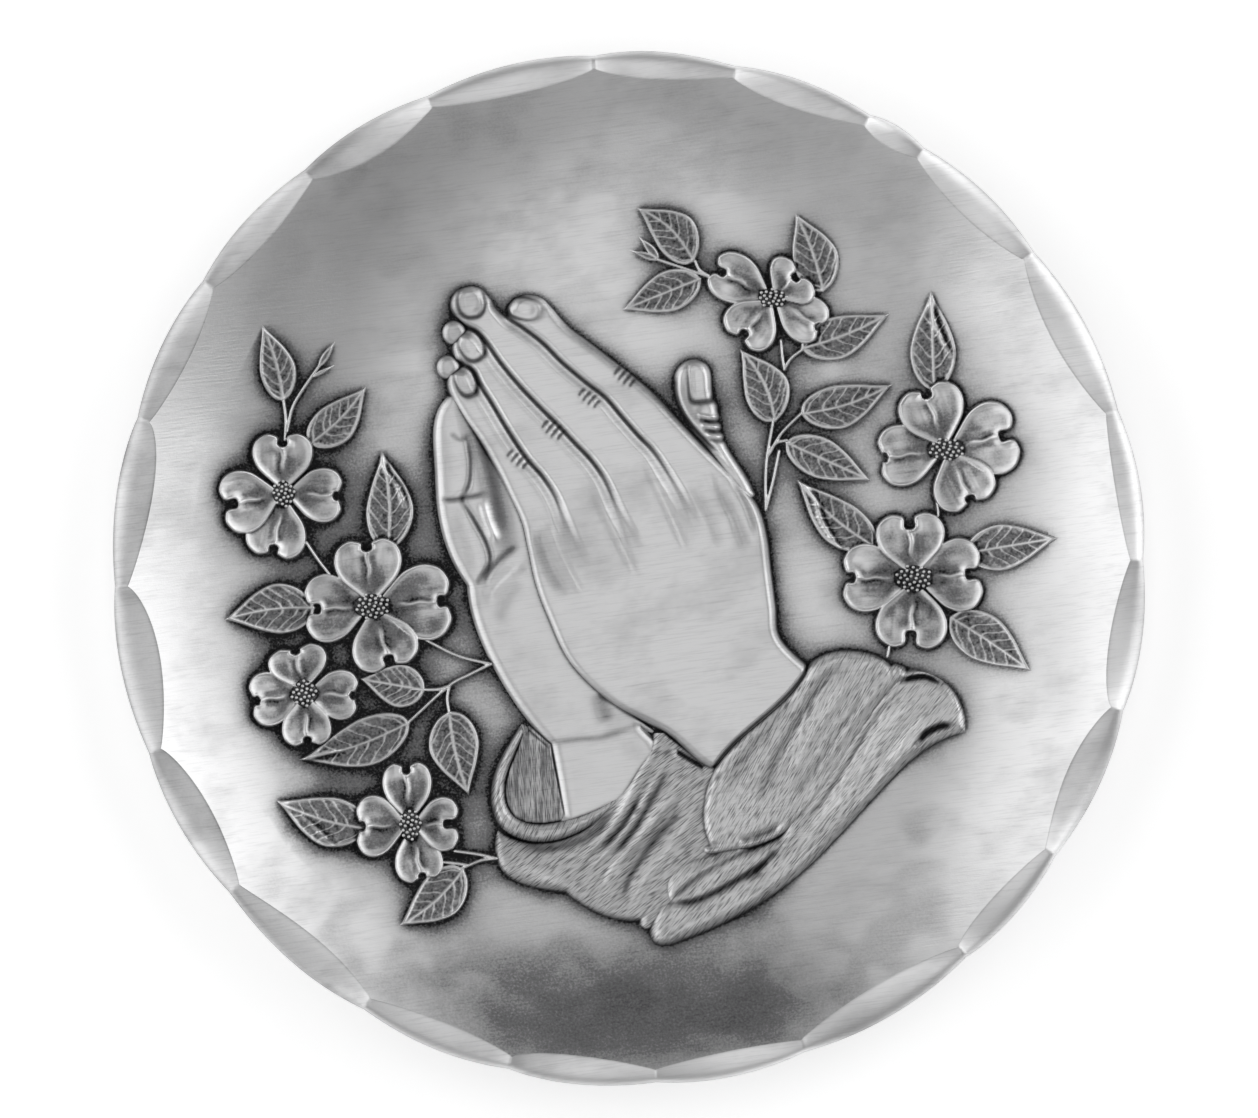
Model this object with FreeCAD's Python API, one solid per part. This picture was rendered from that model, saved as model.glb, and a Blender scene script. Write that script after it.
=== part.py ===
import FreeCAD, Part
import math
import os

# Hand-hammered aluminium offering plate.
# One dished sheet: a flat floor, a wall that rises on a large arc, and a rim struck into
# lens-shaped facets. A scene of praying hands among dogwood is raised on the inside of the
# well. Each raised feature is a low solid whose back lies on the well's inner surface.
# Frame: millimetres, +Z up, origin at the centre of the flat underside.

# Sheet and well
RIM_RADIUS = 152.4  # a twelve-inch plate, at the middle of a facet
SHEET = 2.0  # thickness
FLOOR_RADIUS = 68.0  # flat part of the well
WALL_ARC = 150.0  # radius of the wall's profile, inner surface
TURNED_RADIUS = 136.0  # the wall is round out to here, and faceted beyond

# Rim: where one facet meets the next, counter-clockwise from +X, and how wide each facet is
# at its middle, starting with the facet that follows the first angle.
FACET_JOINTS = (-178, -159, -141, -121, -103.5, -87, -70, -49, -34, -16, 1,
                18, 38, 55, 62, 78, 94, 113, 129, 146, 163)
FACET_WIDTHS = (12, 10.5, 10, 8.5, 8.5, 7.6, 10, 8.2, 10.5, 9.6, 7.5,
                10.8, 9.4, 7, 8.6, 8.3, 9, 10.2, 8.8, 9, 10.6)
JOINT_CREASE_RADIUS = 147.3  # crease between well and rim, at a joint
JOINT_LIP_RADIUS = 151.0  # outer edge, at a joint
JOINT_LIP_DROP = 1.6  # outer edge below the crease, at a joint
FACET_LIP_DROP = 2.3  # outer edge below the crease, at the middle of a facet

# Heights of the raised features above the well's surface
TWIG_HEIGHT = 0.8
LEAF_HEIGHT = 1.2
LINING_HEIGHT = 1.4
BRACT_HEIGHT = 2.0
FAR_HAND_HEIGHT = 2.4
SLEEVE_HEIGHT = 2.6
BUTTON_HEIGHT = 2.9
THUMB_HEIGHT = 3.2
HEM_HEIGHT = 3.2
FINGER_HEIGHT = 3.6
HAND_HEIGHT = 4.0
CUFF_ROLL_HEIGHT = 4.2
CUFF_HEIGHT = 4.8

TWIG_WIDTH = 1.0
BRACT_ROOT = 0.8  # a bract starts this far from its bloom's centre
NOTCH_MOUTH = 0.9  # length of the turn from a lobe's end into the notch, and of the notch's bottom
PRISM_BOTTOM = -1.0  # outlines are cut through this span of height
PRISM_TOP = 40.0

# Leaves: base, tip, width, and how far the midrib bows to its left
LEAVES = {
    "leaf_left_1": ((-102.0, 49.2), (-108.2, 72.0), 10.9, -1.0),
    "leaf_left_2": ((-94.8, 36.5), (-77.6, 54.0), 12.5, -1.3),
    "leaf_left_3": ((-71.5, 5.0), (-73.2, 35.0), 14.4, -1.5),
    "leaf_left_4": ((-92.5, -11.5), (-119.4, -15.0), 15.3, -1.2),
    "leaf_left_5": ((-60.0, -35.9), (-79.8, -32.5), 13.2, 0.0),
    "leaf_left_6": ((-64.5, -45.2), (-97.3, -56.4), 14.5, 1.5),
    "leaf_left_7": ((-53.2, -41.8), (-47.3, -67.2), 15.3, -1.0),
    "leaf_left_8": ((-76.5, -76.8), (-104.1, -68.2), 15.0, 1.5),
    "leaf_left_9": ((-48.6, -88.4), (-67.8, -105.3), 14.0, 1.5),
    "leaf_top_1": ((19.4, 90.6), (2.2, 106.8), 13.4, -2.2),
    "leaf_top_2": ((21.6, 86.0), (-2.3, 76.4), 12.5, 0.0),
    "leaf_top_3": ((57.5, 81.5), (49.1, 105.0), 14.0, -1.0),
    "leaf_top_4": ((50.5, 65.0), (77.3, 75.5), 13.0, -1.0),
    "leaf_top_5": ((43.4, 43.2), (32.7, 65.2), 14.0, -2.0),
    "leaf_top_6": ((50.4, 45.8), (78.2, 54.7), 13.4, -1.6),
    "leaf_top_7": ((46.0, 37.6), (71.9, 25.9), 12.5, 0.0),
    "leaf_right_1": ((90.2, 52.0), (89.1, 82.0), 13.8, 0.0),
    "leaf_right_2": ((73.5, 6.0), (49.5, 26.6), 13.6, 1.6),
    "leaf_right_3": ((99.0, 4.5), (126.6, 9.2), 14.0, 0.0),
    "leaf_right_4": ((94.5, -14.0), (118.6, -30.2), 14.5, 0.5),
}

# Half of a leaf's edge: share of the length, and share of the half width
LEAF_EDGE = ((0.0, 0.0), (0.07, 0.5), (0.22, 0.88), (0.42, 1.0), (0.64, 0.74), (0.84, 0.32), (1.0, 0.0))

# Dogwood blooms: centre, half axes of the button, and four bracts, lowest first, each as the
# bottom of the notch at its tip, its width, and how far its lobes reach from the centre
BLOOMS = {
    "bloom_left_top": ((-102.0, 22.3), (3.2, 3.8), (
        ((-104.8, 6.8), 18.0, 19.2), ((-87.3, 21.6), 16.5, 17.3),
        ((-115.6, 19.4), 19.0, 18.5), ((-102.3, 36.3), 18.1, 17.8))),
    "bloom_left_middle": ((-75.9, -11.0), (5.0, 3.7), (
        ((-91.3, -11.8), 20.5, 20.0), ((-56.5, -9.6), 22.8, 23.4),
        ((-71.3, -25.8), 20.3, 19.3), ((-77.5, 5.5), 20.4, 20.0))),
    "bloom_left_lower": ((-95.9, -36.6), (3.7, 4.0), (
        ((-82.3, -37.4), 15.2, 15.9), ((-109.0, -38.8), 16.5, 16.0),
        ((-95.0, -49.8), 15.0, 15.8), ((-98.4, -25.0), 17.8, 14.2))),
    "bloom_left_bottom": ((-64.7, -75.6), (3.2, 4.4), (
        ((-61.2, -90.0), 14.6, 17.0), ((-65.8, -60.4), 15.0, 18.5),
        ((-54.6, -75.4), 16.4, 14.6), ((-78.0, -76.0), 18.5, 16.0))),
    "bloom_top": ((42.5, 80.0), (4.1, 2.8), (
        ((28.4, 87.2), 15.0, 20.0), ((55.4, 71.9), 14.5, 17.5),
        ((34.6, 70.2), 17.0, 16.2), ((48.6, 85.5), 17.0, 11.8))),
    "bloom_right_upper": ((93.8, 35.3), (5.1, 3.2), (
        ((76.4, 33.0), 18.5, 20.0), ((109.4, 39.0), 22.0, 21.0),
        ((100.4, 21.4), 19.0, 18.4), ((88.2, 50.6), 19.8, 19.8))),
    "bloom_right_lower": ((84.2, -2.8), (5.1, 4.0), (
        ((66.8, -2.6), 20.5, 21.0), ((99.6, -1.6), 22.0, 20.2),
        ((83.4, -18.6), 21.5, 20.8), ((83.0, 12.0), 20.7, 19.4))),
}

# Twigs: each run's points from the thick end
TWIGS = {
    "twigs_left_upper": (
        ((-101.6, 38.0), (-101.3, 44.0), (-102.0, 50.0)),
        ((-101.0, 40.5), (-99.4, 47.5), (-96.3, 53.0), (-91.2, 60.3)),
        ((-95.4, 7.8), (-91.4, 2.0), (-86.2, -4.4)),
    ),
    "twigs_left_middle": (
        ((-40.9, -28.2), (-51.0, -25.6), (-60.6, -20.8)),
        ((-40.9, -28.2), (-47.0, -31.2), (-53.5, -34.8), (-65.0, -45.2)),
        ((-53.0, -34.6), (-57.0, -35.7), (-64.0, -35.6)),
        ((-53.2, -35.0), (-53.8, -38.5), (-53.1, -43.0)),
    ),
    "twigs_left_lower": (
        ((-39.1, -85.6), (-44.0, -86.3), (-50.0, -88.8)),
        ((-39.1, -85.6), (-44.5, -84.4), (-51.5, -83.4)),
        ((-47.6, -87.6), (-51.5, -87.0), (-55.5, -86.6)),
    ),
    "twigs_right": (
        ((40.4, 17.4), (40.6, 31.0), (42.8, 44.5)),
        ((46.0, 59.0), (45.4, 62.5), (44.9, 67.5)),
        ((46.0, 59.2), (48.0, 62.3), (51.5, 65.0)),
        ((41.2, 33.6), (45.2, 40.2), (51.0, 46.0)),
        ((41.6, 34.8), (43.6, 37.2), (46.6, 38.0)),
        ((40.4, 17.4), (42.6, 26.0), (44.4, 34.8)),
        ((23.6, 86.6), (20.8, 88.4), (19.5, 91.0)),
        ((24.0, 86.2), (17.0, 88.6), (8.0, 91.6)),
        ((91.0, 19.6), (91.4, 17.4), (91.3, 15.4)),
        ((77.2, -21.5), (76.9, -23.6), (76.4, -26.0)),
    ),
}

# Buds: base, tip and width of each pointed scale
BUDS = {
    "bud_left": (((-91.8, 59.4), (-86.6, 67.5), 2.4), ((-94.0, 56.4), (-86.5, 60.4), 1.6)),
    "bud_top": (((9.0, 91.2), (-0.2, 94.4), 2.4), ((9.0, 91.6), (2.8, 98.4), 2.8)),
}

# Near hand: each finger's spine from tip to knuckle with its half width
FINGERS = {
    "near_index_finger": (
        (-31.5, 76.8, 4.4), (-20.0, 68.6, 4.9), (-6.0, 56.5, 5.2), (8.0, 43.5, 5.6),
        (20.0, 31.0, 5.4), (28.0, 20.0, 4.0)),
    "near_middle_finger": (
        (-47.2, 77.6, 5.6), (-36.0, 66.8, 6.2), (-24.0, 56.0, 6.2), (-11.0, 45.0, 6.0),
        (2.0, 32.5, 5.6), (12.0, 20.0, 4.0)),
    "near_ring_finger": (
        (-47.8, 65.2, 5.0), (-37.0, 54.0, 5.8), (-26.0, 42.0, 6.0), (-13.5, 28.5, 6.0),
        (-4.0, 16.0, 5.2), (2.0, 5.0, 4.0)),
    "near_little_finger": (
        (-49.0, 55.0, 4.8), (-42.5, 43.6, 5.0), (-35.4, 30.2, 5.0), (-29.6, 18.0, 4.8),
        (-24.5, 6.0, 4.6), (-19.0, -4.0, 3.6)),
}

# Outlines: each is a list of smooth runs that meet at corners, the last closing on the first
NEAR_HAND_BACK = (
    ((30.0, 34.5), (36.5, 24.5), (41.3, 12.0), (42.4, 0.0), (43.5, -10.0), (45.0, -20.0)),
    ((45.0, -20.0), (52.2, -28.4), (57.0, -34.0)),
    ((57.0, -34.0), (30.0, -63.0)),
    ((30.0, -63.0), (10.3, -48.8), (-5.0, -40.9), (-17.9, -28.8), (-24.7, -14.1),
     (-28.8, -2.9), (-31.4, 8.8)),
    ((-31.4, 8.8), (-19.0, 16.0), (-7.0, 26.5), (5.0, 35.5), (17.0, 38.0), (30.0, 34.5)),
)
NEAR_THUMB = (
    ((13.3, 55.0), (15.6, 61.0), (20.0, 62.4), (23.8, 59.8), (24.9, 54.0), (26.3, 48.5)),
    ((26.3, 48.5), (27.4, 42.0), (28.6, 37.8), (33.0, 30.5), (37.4, 22.0)),
    ((37.4, 22.0), (33.2, 22.6), (27.6, 30.5), (22.0, 38.0), (17.6, 43.0), (14.2, 49.0),
     (13.3, 55.0)),
)
FAR_HAND = (
    ((-52.0, 52.5), (-56.8, 47.0), (-57.8, 31.0), (-57.0, 18.0), (-54.0, 5.6), (-48.2, -5.0)),
    ((-48.2, -5.0), (-46.4, -15.0), (-40.6, -28.8), (-31.0, -44.0), (-23.6, -52.4)),
    ((-23.6, -52.4), (-21.8, -62.0), (-19.6, -76.0)),
    ((-19.6, -76.0), (-4.0, -70.0), (12.0, -54.0)),
    ((12.0, -54.0), (-8.0, -30.0), (-22.0, 0.0), (-30.0, 20.0), (-43.0, 44.0), (-52.0, 52.5)),
)
FAR_FINGERTIPS = (((-51.6, 69.8), 3.9), ((-53.4, 59.6), 3.8))
SLEEVE_LINING = (
    ((-31.0, -46.6), (-34.6, -58.0), (-36.4, -66.0), (-33.4, -73.6), (-27.0, -75.2),
     (-19.0, -74.2)),
    ((-19.0, -74.2), (-21.8, -62.0), (-23.6, -52.0)),
    ((-23.6, -52.0), (-31.0, -46.6)),
)
SLEEVE_HEM = (
    ((-32.0, -46.0), (-37.6, -54.6), (-41.0, -64.4), (-38.4, -76.4), (-29.4, -81.2),
     (-17.6, -79.8), (-6.6, -73.2), (1.6, -64.0), (9.6, -50.4)),
    ((9.6, -50.4), (4.4, -56.6), (-0.6, -64.6)),
    ((-0.6, -64.6), (-10.0, -70.4), (-19.6, -73.8), (-28.0, -74.8), (-34.0, -72.2),
     (-36.2, -65.0), (-34.4, -57.6), (-30.6, -48.0)),
    ((-30.6, -48.0), (-32.0, -46.0)),
)
BACK_SLEEVE = (
    ((-38.8, -77.0), (-39.8, -83.0), (-37.6, -89.4), (-29.6, -94.0), (-19.0, -95.8)),
    ((-19.0, -95.8), (-12.0, -100.6), (-2.6, -104.0), (6.0, -103.6), (14.0, -96.0)),
    ((14.0, -96.0), (26.0, -84.0), (25.0, -60.0)),
    ((25.0, -60.0), (19.6, -57.2), (9.6, -50.4)),
    ((9.6, -50.4), (1.0, -65.0), (-8.0, -73.0), (-18.0, -78.6), (-28.0, -80.2), (-38.8, -77.0)),
)
FRONT_CUFF = (
    ((52.4, -28.4), (57.6, -24.9), (65.8, -23.7), (75.0, -26.0), (80.6, -31.4)),
    ((80.6, -31.4), (72.0, -41.0), (63.0, -55.0), (55.0, -67.0), (46.0, -76.4)),
    ((46.0, -76.4), (36.0, -80.8), (23.4, -83.0)),
    ((23.4, -83.0), (21.0, -76.0), (21.6, -66.0), (24.8, -58.0)),
    ((24.8, -58.0), (32.0, -49.6), (42.0, -41.0), (52.4, -28.4)),
)
FRONT_CUFF_ROLL = (
    ((79.0, -30.0), (88.0, -30.6), (95.6, -35.4), (99.6, -44.0), (99.4, -48.6)),
    ((99.4, -48.6), (88.0, -53.6), (76.0, -64.4), (62.0, -79.6), (48.0, -92.8), (30.0, -104.0),
     (12.0, -111.4)),
    ((12.0, -111.4), (6.6, -109.4), (6.4, -102.4), (10.2, -97.4)),
    ((10.2, -97.4), (10.0, -91.8), (14.6, -86.8), (25.0, -83.0), (44.0, -78.0)),
    ((44.0, -78.0), (60.0, -56.0), (79.0, -30.0)),
)


def wall_height(radius, arc, bottom):
    """Height at a radius of a floor that turns up into a wall on an arc."""
    run = max(0.0, radius - FLOOR_RADIUS)
    return bottom + arc - math.sqrt(arc * arc - run * run)


def inner_height(radius):
    return wall_height(radius, WALL_ARC, SHEET)


def under_height(radius):
    return wall_height(radius, WALL_ARC + SHEET, 0.0)


def polar(radius, angle, height):
    """Point from a radius, an angle in degrees and a height."""
    turn = math.radians(angle)
    return FreeCAD.Vector(radius * math.cos(turn), radius * math.sin(turn), height)


def arc_edge(start, middle, end):
    return Part.Arc(start, middle, end).toShape()


def facet_edge(start, end, joint, middle):
    """Arc across one facet, from (radius, height) at its joints and at its middle."""
    return arc_edge(
        polar(joint[0], start, joint[1]),
        polar(middle[0], (start + end) / 2, middle[1]),
        polar(joint[0], end, joint[1]),
    )


def facet_faces(start, end, width):
    """The faces of one slice of the plate, from the floor's edge to the lip, inside and under."""
    crease = RIM_RADIUS - width
    lip_at_joint = inner_height(JOINT_CREASE_RADIUS) - JOINT_LIP_DROP
    lip_at_middle = inner_height(crease) - FACET_LIP_DROP
    faces = []
    lips = []
    for height, drop in ((inner_height, 0.0), (under_height, SHEET)):
        floor_edge = FreeCAD.Vector(FLOOR_RADIUS, 0, height(FLOOR_RADIUS))
        half_way = (FLOOR_RADIUS + TURNED_RADIUS) / 2
        wall_middle = FreeCAD.Vector(half_way, 0, height(half_way))
        wall_end = FreeCAD.Vector(TURNED_RADIUS, 0, height(TURNED_RADIUS))
        profile = arc_edge(floor_edge, wall_middle, wall_end)
        profile.rotate(FreeCAD.Vector(), FreeCAD.Vector(0, 0, 1), start)
        faces.append(profile.revolve(FreeCAD.Vector(), FreeCAD.Vector(0, 0, 1), end - start))
        turned = (TURNED_RADIUS, height(TURNED_RADIUS))
        turned_edge = facet_edge(start, end, turned, turned)
        crease_edge = facet_edge(
            start, end, (JOINT_CREASE_RADIUS, height(JOINT_CREASE_RADIUS)), (crease, height(crease))
        )
        lip_edge = facet_edge(
            start, end, (JOINT_LIP_RADIUS, lip_at_joint - drop), (RIM_RADIUS, lip_at_middle - drop)
        )
        faces.append(Part.makeRuledSurface(turned_edge, crease_edge))
        faces.append(Part.makeRuledSurface(crease_edge, lip_edge))
        lips.append(lip_edge)
    faces.append(Part.makeRuledSurface(*lips))
    return faces


def plate_dish():
    """The sheet itself: floor, wall and 21 struck facets, sewn from their faces."""
    starts = FACET_JOINTS
    ends = FACET_JOINTS[1:] + (FACET_JOINTS[0] + 360,)
    faces = []
    for start, end, width in zip(starts, ends, FACET_WIDTHS):
        faces += facet_faces(start, end, width)
    for height in (inner_height(0), under_height(0)):
        rim = (FLOOR_RADIUS, height)
        edges = [facet_edge(start, end, rim, rim) for start, end in zip(starts, ends)]
        faces.append(Part.Face(Part.Wire(edges)))
    shell = Part.Shell(faces)
    shell.sewShape()
    solid = Part.Solid(Part.Shell(shell.Faces))
    if solid.Volume < 0:
        solid.reverse()
    return solid


def relief_layer(height):
    """All the space up to a height above the well's inner surface."""
    half_way = (FLOOR_RADIUS + TURNED_RADIUS) / 2
    low = [FreeCAD.Vector(r, 0, inner_height(r)) for r in (0, FLOOR_RADIUS, half_way, TURNED_RADIUS)]
    high = [point + FreeCAD.Vector(0, 0, height) for point in low]
    edges = [
        Part.makeLine(low[0], low[1]),
        arc_edge(low[1], low[2], low[3]),
        Part.makeLine(low[3], high[3]),
        arc_edge(high[3], high[2], high[1]),
        Part.makeLine(high[1], high[0]),
        Part.makeLine(high[0], low[0]),
    ]
    return Part.Face(Part.Wire(edges)).revolve(FreeCAD.Vector(), FreeCAD.Vector(0, 0, 1), 360)


def smooth_edge(points):
    """Smooth edge through plan points, or a straight one between two."""
    points = [FreeCAD.Vector(x, y, PRISM_BOTTOM) for x, y in points]
    if len(points) == 2:
        return Part.makeLine(*points)
    curve = Part.BSplineCurve()
    curve.interpolate(points)
    return curve.toShape()


def outline(runs):
    """Closed plan outline from smooth runs that meet at corners."""
    return Part.Wire([smooth_edge(run) for run in runs])


def raised(wire, layer):
    """The part of a relief layer inside a plan outline."""
    prism = Part.Face(wire).extrude(FreeCAD.Vector(0, 0, PRISM_TOP - PRISM_BOTTOM))
    return prism.common(layer)


def along(base, tip, forward, left):
    """Plan point measured from a base along and to the left of the line to a tip."""
    length = math.dist(base, tip)
    dx = (tip[0] - base[0]) / length
    dy = (tip[1] - base[1]) / length
    return (base[0] + dx * forward - dy * left, base[1] + dy * forward + dx * left)


def leaf_outline(base, tip, width, bow):
    """Ovate leaf: rounded base, drawn-out tip, edges as two smooth runs."""
    length = math.dist(base, tip)
    runs = []
    for side in (1, -1):
        run = []
        for share, spread in LEAF_EDGE:
            left = side * spread * width / 2 + bow * math.sin(math.pi * share)
            run.append(along(base, tip, share * length, left))
        runs.append(run)
    return outline((runs[0], runs[1][::-1]))


def bract_outline(centre, notch, width, reach):
    """Dogwood bract: narrow at the button, two round lobes and a notch between them."""
    depth = math.dist(centre, notch)
    runs = []
    for side in (1, -1):
        shape = (
            (BRACT_ROOT, 0.0),
            (0.2 * reach, 0.18),
            (0.44 * reach, 0.41),
            (0.68 * reach, 0.5),
            (0.89 * reach, 0.43),
            (reach, 0.25),
            (reach - NOTCH_MOUTH, 0.11),
            (depth + NOTCH_MOUTH, 0.06),
            (depth, 0.0),
        )
        runs.append([along(centre, notch, forward, side * left * width) for forward, left in shape])
    return outline((runs[0], runs[1][::-1]))


def ellipse_outline(centre, half_x, half_y):
    """Ellipse drawn as four arcs, so that no side runs all the way round."""
    middle = FreeCAD.Vector(*centre, PRISM_BOTTOM)
    ellipse = Part.Ellipse(middle, max(half_x, half_y), min(half_x, half_y))
    quarters = [math.radians(90 * quarter) for quarter in range(5)]
    wire = Part.Wire([Part.ArcOfEllipse(ellipse, *span).toShape() for span in zip(quarters, quarters[1:])])
    if half_y > half_x:
        wire.rotate(middle, FreeCAD.Vector(0, 0, 1), 90)
    return wire


def stroke_outline(spine):
    """Outline around a spine of (x, y, half width), with a round end at each end."""
    sides = {1: [], -1: []}
    for index, (x, y, half) in enumerate(spine):
        before = spine[max(index - 1, 0)]
        after = spine[min(index + 1, len(spine) - 1)]
        length = math.dist(before[:2], after[:2])
        across = ((before[1] - after[1]) / length, (after[0] - before[0]) / length)
        for side, run in sides.items():
            run.append((x + side * half * across[0], y + side * half * across[1]))
    caps = []
    for end, inward in ((spine[0], spine[1]), (spine[-1], spine[-2])):
        caps.append(along(end[:2], inward[:2], -end[2], 0.0))
    return Part.Wire([
        smooth_edge(sides[1]),
        plan_arc(sides[1][-1], caps[1], sides[-1][-1]),
        smooth_edge(sides[-1][::-1]),
        plan_arc(sides[-1][0], caps[0], sides[1][0]),
    ])


def plan_arc(start, middle, end):
    return arc_edge(*(FreeCAD.Vector(x, y, PRISM_BOTTOM) for x, y in (start, middle, end)))


def without(piece, lower):
    """A raised piece with room made for the lower pieces that it lies over."""
    for other in lower:
        if piece.BoundBox.intersect(other.BoundBox):
            piece = piece.cut(other)
    return piece


def relief_outlines():
    """Every raised feature, lowest first: node name, height, and the outlines of its solids."""
    features = []
    for name, runs in TWIGS.items():
        spines = [[(x, y, TWIG_WIDTH / 2) for x, y in run] for run in runs]
        features.append((name, TWIG_HEIGHT, [stroke_outline(spine) for spine in spines]))
    for name, scales in BUDS.items():
        wires = [leaf_outline(base, tip, width, 0.0) for base, tip, width in scales]
        features.append((name, TWIG_HEIGHT, wires))
    for name, leaf in LEAVES.items():
        features.append((name, LEAF_HEIGHT, [leaf_outline(*leaf)]))
    features.append(("back_sleeve_lining", LINING_HEIGHT, [outline(SLEEVE_LINING)]))
    for name, (centre, _, bracts) in BLOOMS.items():
        wires = [bract_outline(centre, *bract) for bract in bracts]
        features.append((name + "_bracts", BRACT_HEIGHT, wires))
    features.append(("far_hand", FAR_HAND_HEIGHT, [outline(FAR_HAND)]))
    tips = [ellipse_outline(centre, radius, radius) for centre, radius in FAR_FINGERTIPS]
    features.append(("far_fingertips", FAR_HAND_HEIGHT, tips))
    features.append(("back_sleeve", SLEEVE_HEIGHT, [outline(BACK_SLEEVE)]))
    for name, (centre, half_axes, _) in BLOOMS.items():
        features.append((name + "_button", BUTTON_HEIGHT, [ellipse_outline(centre, *half_axes)]))
    features.append(("back_sleeve_hem", HEM_HEIGHT, [outline(SLEEVE_HEM)]))
    features.append(("near_thumb", THUMB_HEIGHT, [outline(NEAR_THUMB)]))
    for name, spine in FINGERS.items():
        features.append((name, FINGER_HEIGHT, [stroke_outline(spine)]))
    features.append(("near_hand_back", HAND_HEIGHT, [outline(NEAR_HAND_BACK)]))
    features.append(("front_cuff_roll", CUFF_ROLL_HEIGHT, [outline(FRONT_CUFF_ROLL)]))
    features.append(("front_cuff", CUFF_HEIGHT, [outline(FRONT_CUFF)]))
    return features


def relief_pieces():
    """The raised features as nodes. Where two cross, the lower one stays whole."""
    layers = {}
    placed = []
    nodes = {}
    for name, height, wires in relief_outlines():
        if height not in layers:
            layers[height] = relief_layer(height)
        solids = []
        for wire in wires:
            piece = without(raised(wire, layers[height]), placed)
            solids += piece.Solids
            placed += piece.Solids
        nodes[name] = Part.makeCompound(solids) if len(solids) > 1 else solids[0]
    return nodes


os.makedirs("parts", exist_ok=True)
nodes = {"plate_dish": plate_dish()}
nodes.update(relief_pieces())
for name, shape in nodes.items():
    if not shape.isValid():
        raise ValueError(f"{name} is not a valid shape")
    shape.exportStep(f"parts/{name}.step")
    print(f"{name}: {len(shape.Solids)} solids, {shape.Volume / 1000:.2f} cm3")
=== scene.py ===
import math

import bmesh
import bpy
import numpy as np
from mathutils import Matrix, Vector


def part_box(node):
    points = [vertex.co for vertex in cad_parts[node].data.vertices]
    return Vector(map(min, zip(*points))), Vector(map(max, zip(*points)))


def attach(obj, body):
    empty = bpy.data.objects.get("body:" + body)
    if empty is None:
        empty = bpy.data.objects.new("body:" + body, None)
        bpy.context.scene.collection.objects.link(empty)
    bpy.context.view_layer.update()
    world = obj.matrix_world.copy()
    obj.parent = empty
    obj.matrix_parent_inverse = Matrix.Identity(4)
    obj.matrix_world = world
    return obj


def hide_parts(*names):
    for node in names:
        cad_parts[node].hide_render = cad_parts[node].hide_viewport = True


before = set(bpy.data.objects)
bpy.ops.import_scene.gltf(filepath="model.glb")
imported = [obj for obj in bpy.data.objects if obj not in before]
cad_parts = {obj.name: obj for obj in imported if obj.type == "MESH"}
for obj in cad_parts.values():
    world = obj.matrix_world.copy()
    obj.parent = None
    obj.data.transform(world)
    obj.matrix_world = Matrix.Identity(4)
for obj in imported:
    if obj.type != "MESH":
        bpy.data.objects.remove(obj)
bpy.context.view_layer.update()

# Lengths are in millimetres until a mesh is made. X points right and Y up across the plate.
MM = 0.001
STEP = 0.3  # pitch of the lattice that the relief is modelled on
HALF_SPAN = 129  # the lattice reaches this far each way from the centre
SKIRT = 0.6  # a raised feature dives into the sheet over this distance outside its outline
SHEET = 2
FLOOR_RADIUS = 68
WALL_ARC = 150

# ---- the sheet


def smooth(value):
    """0 up to 0, 1 from 1 on, with a soft turn at both ends."""
    share = np.clip(value, 0, 1)
    return share * share * (3 - 2 * share)


def bump(distance, width):
    """1 on a line or at a place, falling away over a width."""
    return np.exp(-((distance / width) ** 2))


def swelling(depth, width, power=2.4):
    """A form's rounded rise from its outline, full at a distance inside it."""
    return 1 - (1 - np.clip(depth / width, 0, 1)) ** power


def lift(depth, width):
    """The soft step at the foot of a form."""
    return smooth((depth + 0.2) / width)


def well(radius, arc=WALL_ARC):
    """Height of the plate's inner surface at a radius."""
    run = np.maximum(0, radius - FLOOR_RADIUS)
    return SHEET + WALL_ARC - np.sqrt(arc**2 - run**2)


def under(radius):
    """Height of the plate's underside at a radius."""
    return well(radius, WALL_ARC + SHEET)


def planish(x, y):
    """Soft hammer marks: shallow on the floor, deeper on the wall, none at the rim."""
    rng = np.random.default_rng(11)
    total = np.zeros(np.shape(x))
    for _ in range(150):
        radius = 142 * math.sqrt(rng.uniform(0, 1))
        turn = rng.uniform(0, 2 * math.pi)
        reach = rng.uniform(9, 19)
        depth = rng.uniform(-1, 1) * reach / 15
        away = (x - radius * math.cos(turn)) ** 2 + (y - radius * math.sin(turn)) ** 2
        total += depth * np.exp(-away / reach**2)
    radius = np.hypot(x, y)
    return total * (0.07 + 0.38 * smooth((radius - 75) / 35)) * smooth((146 - radius) / 14)


# ---- drawing on the lattice

COUNT = int(round(2 * HALF_SPAN / STEP)) + 1
AXIS = np.linspace(-HALF_SPAN, HALF_SPAN, COUNT)


def spline(points, steps=8):
    """Smooth line through points of any number of values each."""
    knots = np.asarray(points, float)
    if len(knots) == 2:
        return knots
    knots = np.vstack([2 * knots[0] - knots[1], knots, 2 * knots[-1] - knots[-2]])
    line = []
    for a, b, c, d in zip(knots, knots[1:], knots[2:], knots[3:]):
        for t in np.arange(steps) / steps:
            square, cube = (2 * a - 5 * b + 4 * c - d) * t * t, (3 * b - a - 3 * c + d) * t**3
            line.append(0.5 * (2 * b + (c - a) * t + square + cube))
    line.append(knots[-2])
    return np.array(line)


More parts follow.
